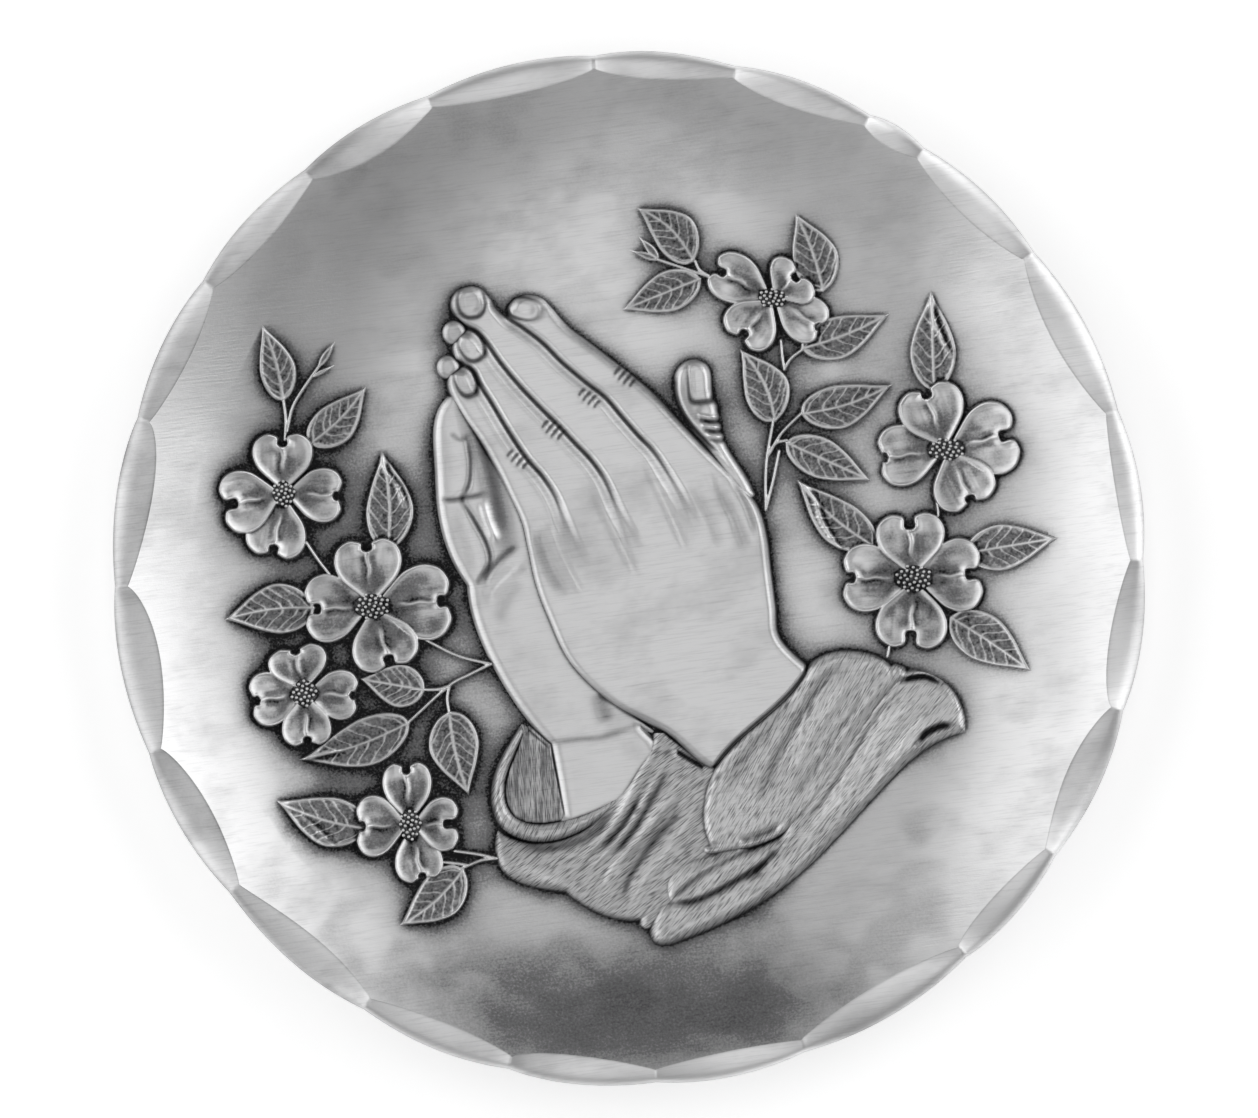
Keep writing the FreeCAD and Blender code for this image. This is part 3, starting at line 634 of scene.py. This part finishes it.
def leaf_ribs(forward, left, depth, length, seed):
    """The midrib and five forked veins a side, as 1 on a rib and 0 away from it."""
    ribs = bump(left, 0.5) * smooth((0.97 - forward / length) / 0.1)
    rng = np.random.default_rng(seed)
    reach = np.abs(left)
    for side in (1, -1):
        for number in range(5):
            start = length * (0.05 + 0.155 * number + rng.uniform(-0.03, 0.03))
            wave = 0.25 * np.sin(reach * 1.7 + number)
            off = (forward - start - 0.75 * reach - 0.075 * reach**2 - wave) * 0.7
            vein = bump(off, 0.27 + 0.05 * np.cos(reach)) * (left * side > 0) * smooth(depth - 0.5)
            ribs = np.maximum(ribs, 0.85 * vein)
    return ribs


def leaf(name, base, tip, width, bow):
    """One leaf: a raised edge and forked veins standing out of a stippled ground."""
    outline = blade(base, tip, width, bow)
    patch = Patch(outline.min(0), outline.max(0))
    depth = depth_in(patch, outline)
    length = math.dist(base, tip)
    forward, left = local(patch, base, tip)
    left = left - bow * np.sin(math.pi * np.clip(forward / length, 0, 1))
    ribs = leaf_ribs(forward, left, depth, length, sum(map(ord, name)))
    stipple = noise(patch.x / 0.62 + 300, patch.y / 0.62 + 300, 31)
    worked = smooth((depth - 0.8) / 0.8) * (1 - ribs)
    height = 0.8 * smooth((depth + 0.2) / 0.9) + 0.28 * bump(depth - 0.5, 0.45) + 0.26 * ribs
    height = height - 0.1 * worked + 0.06 * stipple * worked
    tarnish_and_shade = worked * (0.25 + 0.3 * bump(left, 0.42 * width) - 0.2 * stipple) + 0.07
    patch.raise_to(height, depth, np.clip(tarnish_and_shade, 0, 1))
    if name in CURLS:
        patch.line(CURLS[name], 0.8, 0.8, -0.5, 0.5)
        patch.line([(x + 1.5, y - 0.6) for x, y in CURLS[name]], 0.6, -0.3, 0.5, 0.7)
    patches[name] = (patch, (name,))


# Twigs: each run's points
TWIGS = {
    "twigs_left_upper": (
        ((-101.6, 38), (-101.3, 44), (-102, 50)), ((-101, 40.5), (-99.4, 47.5), (-96.3, 53), (-91.2, 60.3)),
        ((-95.4, 7.8), (-91.4, 2), (-86.2, -4.4)),
    ),
    "twigs_left_middle": (
        ((-40.9, -28.2), (-51, -25.6), (-60.6, -20.8)),
        ((-40.9, -28.2), (-47, -31.2), (-53.5, -34.8), (-65, -45.2)),
        ((-53, -34.6), (-57, -35.7), (-64, -35.6)), ((-53.2, -35), (-53.8, -38.5), (-53.1, -43)),
    ),
    "twigs_left_lower": (
        ((-39.1, -85.6), (-44, -86.3), (-50, -88.8)), ((-39.1, -85.6), (-44.5, -84.4), (-51.5, -83.4)),
        ((-47.6, -87.6), (-51.5, -87), (-55.5, -86.6)),
    ),
    "twigs_right": (
        ((40.4, 17.4), (40.6, 31), (42.8, 44.5)), ((46, 59), (45.4, 62.5), (44.9, 67.5)),
        ((46, 59.2), (48, 62.3), (51.5, 65)), ((41.2, 33.6), (45.2, 40.2), (51, 46)),
        ((41.6, 34.8), (43.6, 37.2), (46.6, 38)), ((40.4, 17.4), (42.6, 26), (44.4, 34.8)),
        ((23.6, 86.6), (20.8, 88.4), (19.5, 91)), ((24, 86.2), (17, 88.6), (8, 91.6)),
        ((91, 19.6), (91.4, 17.4), (91.3, 15.4)), ((77.2, -21.5), (76.9, -23.6), (76.4, -26)),
    ),
}
BUDS = {
    "bud_left": (((-91.8, 59.4), (-86.6, 67.5), 2.4), ((-94, 56.4), (-86.5, 60.4), 1.6)),
    "bud_top": (((9, 91.2), (-0.2, 94.4), 2.4), ((9, 91.6), (2.8, 98.4), 2.8)),
}


def twigs(name, runs):
    """Round stems along some runs of points."""
    patch = Patch(*box_of(name))
    for run in runs:
        distance, _, _ = nearest(patch.x, patch.y, spline(run))
        patch.raise_to(1.1 * (1 - np.clip(distance / 0.75, 0, 1) ** 2), 0.55 - distance)
    patches[name] = (patch, (name,))


def bud(name, scales):
    """Pointed scales, each with a sunk middle."""
    patch = Patch(*box_of(name))
    for base, tip, width in scales:
        depth = depth_in(patch, blade(base, tip, width, steps=8))
        height = 1.2 * smooth((depth + 0.3) / 0.9) - 0.3 * smooth((depth - 0.6) / 0.6)
        patch.raise_to(height, depth, 0.5 * smooth((depth - 0.5) / 0.5))
    patches[name] = (patch, (name,))


# ---- blooms

# Four bracts each, lowest first: the bottom of the notch at the tip, the width, and how far the lobes reach
BRACTS = {
    "bloom_left_top": (
        ((-104.8, 6.8), 18, 19.2), ((-87.3, 21.6), 16.5, 17.3),
        ((-115.6, 19.4), 19, 18.5), ((-102.3, 36.3), 18.1, 17.8)),
    "bloom_left_middle": (
        ((-91.3, -11.8), 20.5, 20), ((-56.5, -9.6), 22.8, 23.4),
        ((-71.3, -25.8), 20.3, 19.3), ((-77.5, 5.5), 20.4, 20)),
    "bloom_left_lower": (
        ((-82.3, -37.4), 15.2, 15.9), ((-109, -38.8), 16.5, 16),
        ((-95, -49.8), 15, 15.8), ((-98.4, -25), 17.8, 14.2)),
    "bloom_left_bottom": (
        ((-61.2, -90), 14.6, 17), ((-65.8, -60.4), 15, 18.5),
        ((-54.6, -75.4), 16.4, 14.6), ((-78, -76), 18.5, 16)),
    "bloom_top": (
        ((28.4, 87.2), 15, 20), ((55.4, 71.9), 14.5, 17.5),
        ((34.6, 70.2), 17, 16.2), ((48.6, 85.5), 17, 11.8)),
    "bloom_right_upper": (
        ((76.4, 33), 18.5, 20), ((109.4, 39), 22, 21),
        ((100.4, 21.4), 19, 18.4), ((88.2, 50.6), 19.8, 19.8)),
    "bloom_right_lower": (
        ((66.8, -2.6), 20.5, 21), ((99.6, -1.6), 22, 20.2),
        ((83.4, -18.6), 21.5, 20.8), ((83, 12), 20.7, 19.4)),
}


def bract_outline(centre, notch, width, reach):
    """A bract narrow at the button, with two round lobes and a keyhole notch between them."""
    depth = math.dist(centre, notch)
    shape = np.array((
        (0, 0), (0.2 * reach, 0.22), (0.42 * reach, 0.43), (0.66 * reach, 0.51), (0.88 * reach, 0.45),
        (reach, 0.27), (reach - 0.5, 0.11), (0.6 * reach + 0.4 * depth, 0.055), (depth + 0.5, 0.055),
        (depth, 0)))
    forward, left = spline(shape, 8).T
    sides = [measured_from(centre, notch, forward, side * left * width) for side in (1, -1)]
    return np.vstack([sides[0], sides[1][-2:0:-1]])


def bract(patch, centre, notch, width, reach, level):
    """One bract: a bright rolled edge, a dished lobe each side and a fold up from the notch."""
    depth = depth_in(patch, bract_outline(centre, notch, width, reach))
    forward, left = local(patch, centre, notch)
    inner = math.dist(centre, notch)
    edge = bump(depth - 0.55, 0.5)
    fold = bump(left - 0.25 * np.sin(forward), 0.55) * smooth((forward - 0.3 * inner) / (0.35 * inner))
    beside = bump(np.abs(left) - 1.7, 0.8) * smooth((forward - 0.25 * inner) / (0.4 * inner))
    lobes = smooth((depth - 0.8) / 2.2)
    heading = math.degrees(math.atan2(notch[1] - centre[1], notch[0] - centre[0]))
    streak = strokes(patch.x, patch.y, heading, 0.8, 6, 41)
    cloud = noise(patch.x / 3.2 + 80, patch.y / 3.2 + 80, 43)
    within = lift(depth, 1)
    height = level * within + 0.4 * edge - 0.25 * lobes + 0.4 * fold * within - 0.15 * beside * lobes
    height = height + 0.03 * streak * lobes + 0.35 * smooth(forward / reach) * within
    dim = 0.12 + 0.2 * cloud + 0.07 * streak + 0.48 * smooth(1.05 - forward / (0.75 * reach))
    dim += 0.15 * smooth((25 - patch.y) / 50)
    # Painted shade: a dark line along one side of the fold.
    line = bump(left - 0.95 - 0.25 * np.sin(forward), 0.4) * smooth((forward - 0.3 * inner) / (0.4 * inner))
    tarnish_and_shade = lobes * np.clip(dim, 0, 1) * (1 - 0.8 * fold) + (0.16 * beside + 0.45 * line) * lobes
    patch.raise_to(height, depth, np.clip(tarnish_and_shade, 0, 1))


def bloom(name):
    """Four bracts and the domed ground of the button, whose centre and half sizes it returns."""
    low, high = box_of(name + "_button")
    centre = ((low[0] + high[0]) / 2, (low[1] + high[1]) / 2)
    half_x, half_y = (high[0] - low[0]) / 2, (high[1] - low[1]) / 2
    patch = Patch(*box_of(name + "_bracts", name + "_button"))
    for number, (notch, width, reach) in enumerate(BRACTS[name]):
        bract(patch, centre, notch, width, reach, 1.15 + 0.3 * number)
    patches[name + "_bracts"] = (patch, (name + "_bracts",))
    core = Patch(low, high)
    out = np.hypot((core.x - centre[0]) / half_x, (core.y - centre[1]) / half_y)
    core.raise_to(2.6 - 0.5 * out**2, (1 - out) * min(half_x, half_y), 0.85)
    patches[name + "_button"] = (core, (name + "_button",))
    return centre, half_x, half_y


def bead_places(centre, half_x, half_y):
    """Bead centres in a sunflower spiral over the button."""
    count = int(round(0.95 * half_x * half_y)) + 12
    number = np.arange(count)
    radius = np.sqrt((number + 0.5) / count) * 1.02
    turn = number * math.radians(137.5)
    return centre[0] + half_x * radius * np.cos(turn), centre[1] + half_y * radius * np.sin(turn)


# ---- meshes

BROAD_FORMS = ("near_hand", "front_cuff", "front_cuff_roll")


def mesh_piece(name, points, faces, tarnish_and_shade, nodes):
    """A smooth-shaded piece on the root body that stands for CAD nodes."""
    mesh = bpy.data.meshes.new(name)
    mesh.from_pydata((np.asarray(points) * MM).tolist(), [], np.asarray(faces).tolist())
    mesh.polygons.foreach_set("use_smooth", np.ones(len(mesh.polygons), bool))
    # Darkness per point: the real patina, with painted shade where a piece adds it.
    layer = mesh.attributes.new("patina_and_shade", "FLOAT", "POINT")
    layer.data.foreach_set("value", np.asarray(tarnish_and_shade, np.float32).ravel())
    mesh.materials.append(other_metals.get(name, metal))
    piece = bpy.data.objects.new(name, mesh)
    bpy.context.scene.collection.objects.link(piece)
    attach(piece, "root")
    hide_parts(*nodes)
    return piece


def grid_faces(rows, columns, keep=None):
    """Quads of a lattice, wound so that they face up when rows run in Y and columns in X."""
    index = np.arange(rows * columns).reshape(rows, columns)
    quads = np.stack([index[:-1, :-1], index[:-1, 1:], index[1:, 1:], index[1:, :-1]], -1)
    if keep is not None:
        whole = keep[:-1, :-1] & keep[:-1, 1:] & keep[1:, 1:] & keep[1:, :-1]
        quads = quads[whole]
    return quads.reshape(-1, 4)


def compacted(points, faces, values):
    """Drops points that no face uses."""
    used = np.unique(faces)
    index = np.zeros(len(points), int)
    index[used] = np.arange(len(used))
    return points[used], index[faces], values[used]


def sample(field, x, y):
    """Value of a lattice field at any plan points."""
    u = np.clip((np.asarray(x) + HALF_SPAN) / STEP, 0, COUNT - 1.001)
    v = np.clip((np.asarray(y) + HALF_SPAN) / STEP, 0, COUNT - 1.001)
    i, j = u.astype(int), v.astype(int)
    su, sv = u - i, v - j
    low = field[j, i] * (1 - su) + field[j, i + 1] * su
    high = field[j + 1, i] * (1 - su) + field[j + 1, i + 1] * su
    return low * (1 - sv) + high * sv


def relief_pieces(crevices):
    """A mesh for each finished feature, laid on the sheet. Broad forms show their hollows less."""
    for name, (patch, nodes) in patches.items():
        z = well(np.hypot(patch.x, patch.y)) + planish(patch.x, patch.y) + patch.height
        points = np.stack([patch.x, patch.y, z], -1).reshape(-1, 3)
        faces = grid_faces(*patch.x.shape, keep=patch.depth > -SKIRT)
        amount = 1 - 0.4 * smooth(patch.depth - 1) * (name in BROAD_FORMS)
        dark = np.clip(amount * crevices[patch.rows, patch.columns] + patch.tarnish_and_shade, 0, 1).ravel()
        points, faces, dark = compacted(points, faces, dark)
        if name.endswith("_button"):
            points, faces, dark = with_beads(name[:-7], points, faces, dark)
        mesh_piece(name, points, faces, dark, nodes)


def with_beads(bloom_name, points, faces, dark):
    """Adds the button's beads to its mesh."""
    ball = bmesh.new()
    bmesh.ops.create_icosphere(ball, subdivisions=2, radius=1)
    corners = np.array([v.co for v in ball.verts])
    sides = np.array([[v.index for v in f.verts] for f in ball.faces])
    ball.free()
    centre, half_x, half_y = buttons[bloom_name]
    out_points, out_faces, out_dark = [points], faces.tolist(), [dark]
    count = len(points)
    for x, y in zip(*bead_places(centre, half_x, half_y)):
        out = math.hypot((x - centre[0]) / half_x, (y - centre[1]) / half_y)
        z = well(np.hypot(x, y)) + 2.75 - 0.6 * out**2
        out_points.append(corners * 0.5 + (x, y, z))
        out_faces += (sides + count).tolist()
        out_dark.append(np.clip(0.25 - corners[:, 2], 0, 1) * 0.9)
        count += len(corners)
    return np.vstack(out_points), np.array(out_faces, object), np.concatenate(out_dark)


# ---- the dish

# Where the patina round the relief was rubbed away: place and reach
POLISHED = ((-20, 92, 20), (-66, 58, 14), (78, -88, 26), (20, -118, 18),
            (56, -88, 10), (74, -66, 9),
            (-8, 88, 14), (-50, 96, 16), (4, 70, 10), (60, 60, 5), (62, 90, 6))

FLOOR_REACH = 124
# Where the struck facets of the rim meet, in degrees, and how wide each facet is
JOINTS = (-178, -159, -141, -121, -103.5, -87, -70, -49, -34, -16, 1,
          18, 38, 55, 62, 78, 94, 113, 129, 146, 163)
WIDTHS = (12, 10.5, 10, 8.5, 8.5, 7.6, 10, 8.2, 10.5, 9.6, 7.5,
          10.8, 9.4, 7, 8.6, 8.3, 9, 10.2, 8.8, 9, 10.6)
JOINT_CREASE, JOINT_LIP, LIP = 147.3, 151, 152.3


def clouds(x, y):
    """Patina in soft hammer marks on the wall and a faint band at the top, with painted shade in a dark
    band at the foot.
    """
    drift_x, drift_y = (4 * noise(x / 9 + 50, y / 9 + 50, seed) for seed in (61, 62))
    broad = noise((x + drift_x) / 17 + 50, (y + drift_y) / 13 + 50, 63)
    fine = noise((x + drift_x) / 7.5 + 50, (y + drift_y) / 5.5 + 50, 64)
    marks = smooth((0.65 * broad + 0.45 * fine + 0.25) / 0.8)
    outer = smooth((np.hypot(x, y) - 62) / 30) * smooth((150 - np.hypot(x, y)) / 10)
    # Painted shade: a dark band over the foot of the wall, at the bottom of the plate.
    foot = np.exp(-(((x - 2) / 60) ** 4) - ((y + 130) / 18) ** 2)
    crown = np.exp(-(((x + 25) / 75) ** 4) - ((y - 130) / 16) ** 2) * (0.4 + 0.6 * smooth(-x / 40))
    # The marks are stronger towards the bottom and at the upper left.
    strength = 0.05 + 0.08 * smooth((-30 - y) / 40) + 0.04 * smooth((-20 - x) / 40) * smooth(y / 40)
    strength = strength * outer * (1 - smooth((np.abs(x) - 95) / 25))
    return marks * (0.02 + strength) + 0.42 * foot + 0.08 * crown


def disc(count):
    """A square lattice drawn into a disc."""
    square = np.linspace(-1, 1, count)
    u, v = np.meshgrid(square, square)
    return FLOOR_REACH * u * np.sqrt(1 - v * v / 2), FLOOR_REACH * v * np.sqrt(1 - u * u / 2)


def floor_piece(halo):
    """The well's floor and lower wall."""
    count = 421
    x, y = disc(count)
    z = well(np.hypot(x, y)) + planish(x, y)
    points = np.stack([x, y, z], -1).reshape(-1, 3)
    dark = np.clip(sample(halo, x, y) + clouds(x, y), 0, 1)
    mesh_piece("plate_floor", points, grid_faces(count, count), dark, ("plate_dish",))


def facet_samples(count):
    """Angle, place along its facet from 0 to 1, and width of the facet, round the whole rim."""
    rows = []
    ends = JOINTS[1:] + (JOINTS[0] + 360,)
    rng = np.random.default_rng(3)
    for start, end, width in zip(JOINTS, ends, WIDTHS):
        skew = rng.uniform(0.8, 1.25)
        for share in np.arange(count) / count:
            rows.append((math.radians(start + (end - start) * share), share**skew, width))
    return np.array(rows).T


def crease_and_lip(count):
    """Angle, radius of the crease and of the lip, and the fall between them, round the whole rim."""
    angle, share, width = facet_samples(count)
    swell = 4 * share * (1 - share)
    crease = JOINT_CREASE - (JOINT_CREASE - (LIP - width)) * swell**0.9
    lip = JOINT_LIP + (LIP - JOINT_LIP) * swell
    return angle, crease, lip, 1.6 + 0.7 * swell


def ring_piece(name, angle, radii, heights, dark):
    """A band closed round the plate, from rows of radius and height at each angle."""
    rows, columns = radii.shape
    x, y = radii * np.cos(angle), radii * np.sin(angle)
    points = np.stack([x, y, heights], -1).reshape(-1, 3)
    index = np.arange(rows * columns).reshape(rows, columns)
    after = np.roll(index, -1, 1)
    faces = np.stack([index[:-1], index[1:], after[1:], after[:-1]], -1).reshape(-1, 4)
    return mesh_piece(name, points, faces, dark, ("plate_dish",))


def wall_piece(halo, count):
    """The upper wall, from the floor piece's edge to the crease of the rim."""
    angle, crease, _, _ = crease_and_lip(count)
    share = np.linspace(0, 1, 24)[:, None]
    radii = FLOOR_REACH + (crease - FLOOR_REACH) * share
    x, y = radii * np.cos(angle), radii * np.sin(angle)
    dark = np.clip(sample(halo, x, y) * (radii < HALF_SPAN) + clouds(x, y), 0, 1)
    ring_piece("plate_wall", angle, radii, well(radii) + planish(x, y), dark)


def rim_piece(count):
    """The hammered facets and the edge of the sheet."""
    angle, crease, lip, drop = crease_and_lip(count)
    share = np.linspace(0, 1, 15)[:, None]
    radii = crease + (lip - crease) * share
    fall = drop * (0.38 * share + 0.62 * share**5)
    heights = well(crease) - fall
    edge_radii = np.stack([lip + 0.1, lip + 0.1, lip - 0.5])
    edge_heights = heights[-1] - np.array([0.35, SHEET - 0.3, SHEET])[:, None]
    # Painted shade on the facets of the left side, with a random mottle.
    left_shade_and_mottle = 0.02 + 0.12 * smooth(-np.cos(angle)) + 0.05 * noise(angle * 9 + 60, share * 2 + 60, 65)
    # A dark line along the crease, and painted shade over the outer end of each facet where the sheet turns
    # down.
    facets = left_shade_and_mottle + 0.18 * bump(share, 0.05) + 0.14 * smooth((share - 0.9) / 0.1)
    # Painted shade: the edge of the sheet evenly darkened.
    dark = np.vstack([facets, np.full((3, len(lip)), 0.4)])
    ring_piece("plate_rim", angle, np.vstack([radii, edge_radii]), np.vstack([heights, edge_heights]), dark)


def underside_pieces(count):
    """The plain back of the sheet: a disc, and a band out to the lip, both evenly darkened as painted
    shade.
    """
    x, y = disc(count)
    points = np.stack([x, y, under(np.hypot(x, y))], -1).reshape(-1, 3)
    faces = grid_faces(count, count)[:, ::-1]
    # Painted shade: the underside's even darkening.
    mesh_piece("plate_underside", points, faces, np.full(x.size, 0.3), ("plate_dish",))
    angle, crease, lip, drop = crease_and_lip(count // 2)
    inner = FLOOR_REACH + (crease + 0.3 - FLOOR_REACH) * np.linspace(0, 1, 20)[:, None]
    radii = np.vstack([inner, (lip - 0.5)[None]])
    heights = np.vstack([under(inner), (well(crease) - drop - SHEET)[None]])
    # Painted shade: the band's even darkening.
    ring_piece("plate_underside_wall", angle, radii[::-1], heights[::-1], np.full(radii.shape, 0.3))


# ---- metal


def node(tree, kind, **settings):
    """A shader node. Each setting is a socket to link in, a value for a socket, or a property."""
    made = tree.nodes.new(kind)
    for name, value in settings.items():
        if isinstance(value, bpy.types.NodeSocket):
            tree.links.new(value, made.inputs[name])
        elif name in made.inputs:
            made.inputs[name].default_value = value
        else:
            setattr(made, name, value)
    return made


def stretched_noise(tree, scale, turn, shift, detail=4.0):
    """Noise of these lengths in metres, drawn out along a direction in the plate's plane."""
    place = node(tree, "ShaderNodeTexCoord").outputs["Object"]
    mapping = node(tree, "ShaderNodeMapping", vector_type="TEXTURE", Vector=place)
    mapping.inputs["Rotation"].default_value = (0.0, 0.0, math.radians(turn))
    mapping.inputs["Scale"].default_value = scale
    mapping.inputs["Location"].default_value = (shift, 0.0, 0.0)
    texture = node(tree, "ShaderNodeTexNoise", Scale=1.0, Detail=detail, Roughness=0.6)
    tree.links.new(mapping.outputs["Vector"], texture.inputs["Vector"])
    return texture.outputs["Fac"]


def value_math(tree, operation, *values, clamp=False):
    """Arithmetic on numbers and sockets."""
    made = node(tree, "ShaderNodeMath", operation=operation, use_clamp=clamp)
    for socket, value in zip(made.inputs, values):
        if isinstance(value, float):
            socket.default_value = value
        else:
            tree.links.new(value, socket)
    return made.outputs[0]


def excess(tree, first, second, gain):
    """What the first has over the second, times a gain."""
    return value_math(tree, "MULTIPLY", value_math(tree, "SUBTRACT", first, second, clamp=True), gain)


def tone_ramp(tree, value, *stops):
    """A colour ramp whose stops each give a place, a grey and a little more blue."""
    ramp = node(tree, "ShaderNodeValToRGB", Fac=value)
    while len(ramp.color_ramp.elements) < len(stops):
        ramp.color_ramp.elements.new(0.5)
    for element, (place, grey, blue) in zip(ramp.color_ramp.elements, stops):
        element.position = place
        element.color = (grey, grey, grey + blue, 1.0)
    return ramp.outputs["Color"]


def darkness_and_height(tree, grain, hatch):
    """How dark the metal is, from patina and painted shade of some grain, haze, brushing and cuts, and its
    fine height.
    """
    patina_and_shade = node(tree, "ShaderNodeAttribute", attribute_name="patina_and_shade").outputs["Fac"]
    brush = stretched_noise(tree, (0.011, 0.0005, 0.004), 8.0, 3.0)
    speckle = stretched_noise(tree, (0.0007, 0.0007, 0.0007), 0.0, 5.0)
    smoke = stretched_noise(tree, (0.026, 0.017, 0.025), 20.0, 9.0)
    uneven = value_math(tree, "MULTIPLY_ADD", speckle, grain, 1.0 - grain / 2.0)
    dark = value_math(tree, "MULTIPLY", patina_and_shade, uneven, clamp=True)
    haze = value_math(tree, "ADD", excess(tree, smoke, 0.5, 0.5), excess(tree, brush, 0.5, 0.35))
    total = value_math(tree, "ADD", dark, haze, clamp=True)
    height = value_math(tree, "ADD", brush, value_math(tree, "MULTIPLY", speckle, 0.4))
    if hatch is not None:
        cuts = stretched_noise(tree, (0.0032, 0.00031, 0.0032), hatch, 7.0, 0.0)
        deep = excess(tree, 0.53, cuts, 1.1)
        total = value_math(tree, "ADD", total, deep, clamp=True)
        height = value_math(tree, "SUBTRACT", height, value_math(tree, "MULTIPLY", deep, 3.0))
    return total, height


def tarnished_metal(name, grain, hatch=None, dullness=0.36, clean=0.84):
    """Brushed aluminium with a patina in its hollows and painted shade where its mesh carries it, or worked
    all over with strokes at an angle.
    """
    material = bpy.data.materials.new(name)
    material.use_nodes = True
    tree = material.node_tree
    shader = tree.nodes["Principled BSDF"]
    shader.inputs["Metallic"].default_value = 1.0
    total, height = darkness_and_height(tree, grain, hatch)
    colour = tone_ramp(tree, total, (0.0, clean, 0.005), (0.45, 0.25, 0.005), (1.0, 0.018, 0.001))
    tree.links.new(colour, shader.inputs["Base Color"])
    tree.links.new(value_math(tree, "MULTIPLY_ADD", total, 0.28, dullness), shader.inputs["Roughness"])
    relief = node(tree, "ShaderNodeBump", Strength=0.25, Distance=0.0002, Height=height)
    tree.links.new(relief.outputs["Normal"], shader.inputs["Normal"])
    return material


# ---- studio


def softbox(name, place, size, strength):
    """A square studio light aimed at the plate."""
    lamp = bpy.data.lights.new(name, "AREA")
    lamp.shape = "RECTANGLE"
    lamp.size, lamp.size_y = size
    lamp.energy = strength * size[0] * size[1] * math.pi
    light = bpy.data.objects.new(name, lamp)
    light.location = place
    light.rotation_euler = (-Vector(place)).to_track_quat("-Z", "Y").to_euler()
    bpy.context.scene.collection.objects.link(light)


def white_paper():
    """Nearly even white paper with a faint glow of its own."""
    paper = bpy.data.materials.new("white_table")
    paper.use_nodes = True
    tree = paper.node_tree
    shader = tree.nodes["Principled BSDF"]
    shader.inputs["Roughness"].default_value = 0.6
    tone = stretched_noise(tree, (0.3, 0.3, 0.3), 0.0, 0.0)
    tree.links.new(tone_ramp(tree, tone, (0.0, 0.9, 0.0), (1.0, 0.93, 0.0)), shader.inputs["Base Color"])
    shader.inputs["Emission Color"].default_value = (1.0, 1.0, 1.0, 1.0)
    shader.inputs["Emission Strength"].default_value = 0.46
    return paper


def table_top():
    """A wide table a little under the plate."""
    bpy.ops.mesh.primitive_plane_add(size=8.0, location=(0.0, 0.0, -0.0001))
    table = bpy.context.object
    table.name = "table"
    table.data.materials.append(white_paper())


def sky():
    """A grey surround, paler towards the horizon and below it."""
    world = bpy.data.worlds.new("studio")
    world.use_nodes = True
    tree = world.node_tree
    direction = node(tree, "ShaderNodeSeparateXYZ")
    tree.links.new(node(tree, "ShaderNodeTexCoord").outputs["Generated"], direction.inputs[0])
    tone = tone_ramp(tree, direction.outputs["Z"], (0.32, 0.7, 0.0), (0.52, 0.1, 0.0))
    tree.links.new(tone, tree.nodes["Background"].inputs["Color"])
    bpy.context.scene.world = world


def camera():
    """A camera straight over the plate, with a field of this many metres at its height."""
    height, field = 3.1, 0.370
    lens = bpy.data.cameras.new("camera")
    lens.sensor_width = 36.0
    lens.lens = 36.0 * (height - 0.02) / field
    seen = bpy.data.objects.new("camera", lens)
    seen.location = (0.0, 0.0029, height)
    bpy.context.scene.collection.objects.link(seen)
    bpy.context.scene.camera = seen


# ---- patina on the whole lattice


def all_relief():
    """Height of the relief over the sheet."""
    surface = np.zeros((COUNT, COUNT))
    for patch, _ in patches.values():
        part = surface[patch.rows, patch.columns]
        np.maximum(part, np.where(patch.depth > -SKIRT, patch.height, 0), out=part)
    return surface


def hollows(surface):
    """Darkness in the narrow and the wide hollows of the relief."""
    narrow = smooth((blur(surface, 0.9) - surface) / 0.7)
    wide = smooth((blur(surface, 2.4) - surface) / 1.6)
    return narrow * 0.85 + wide * 0.5


def smoky_halo(surface):
    """Patina on the sheet round the relief, weaker to the right and where it was rubbed away."""
    covered = (surface > 0.05).astype(float)
    x, y = np.meshgrid(AXIS, AXIS)
    smoke = 0.5 + 0.3 * noise(x / 11 + 60, y / 8 + 60, 51) + 0.2 * noise(x / 4 + 90, y / 3, 52)
    polish = sum(bump(np.hypot(x - at_x, y - at_y), reach) for at_x, at_y, reach in POLISHED)
    spread = 0.5 * smooth(2 * blur(covered, 2.6)) + 0.62 * smooth(1.75 * blur(covered, 7))
    spread += 0.34 * smooth(1.7 * blur(covered, 14))
    spread *= 1 - 0.48 * smooth((x - 45) / 35) - 0.3 * smooth((y - 55) / 25) * smooth(x / 25)
    spread *= 1 + 0.42 * smooth((-20 - x) / 40)
    return 0.57 * spread * (0.72 + 0.5 * smoke) * (1 - 0.75 * np.clip(polish, 0, 1))


# ---- putting it together

metal = tarnished_metal("tarnished_aluminium", 1.45)
skin = tarnished_metal("polished_aluminium", 0.5)
other_metals = {name: tarnished_metal("worked_" + name, 0.4, angle) for name, angle in HATCHES.items()}
# The rim's struck facets: a rougher finish, and a base colour brightened as painted light.
brightened_struck_metal = tarnished_metal("struck_and_brightened_aluminium", 0.5, None, 0.4, 0.95)
other_metals.update(near_hand=skin, far_hand=skin, plate_rim=brightened_struck_metal)
for name, runs in TWIGS.items():
    twigs(name, runs)
for name, scales in BUDS.items():
    bud(name, scales)
for name, shape in LEAVES.items():
    leaf(name, *shape)
sleeve_lining()
buttons = {name: bloom(name) for name in BRACTS}
far_hand()
back_sleeve()
sleeve_hem()
near_hand()
cuff_roll()
front_cuff()

relief = all_relief()
crevices, halo = hollows(relief), smoky_halo(relief)
per_facet = 60
relief_pieces(crevices)
floor_piece(0.72 * crevices + halo)
wall_piece(halo, per_facet)
rim_piece(per_facet)
underside_pieces(120)
table_top()
softbox("light_left", (-1.15, 0.05, 0.95), (2.1, 1.2), 1.1)
softbox("light_right", (1.15, 0.4, 0.93), (1.7, 1.2), 1.25)
softbox("light_over", (0.0, -0.35, 3.3), (1.25, 5.7), 0.98)
sky()
bpy.context.scene.view_settings.view_transform = "Standard"
camera()
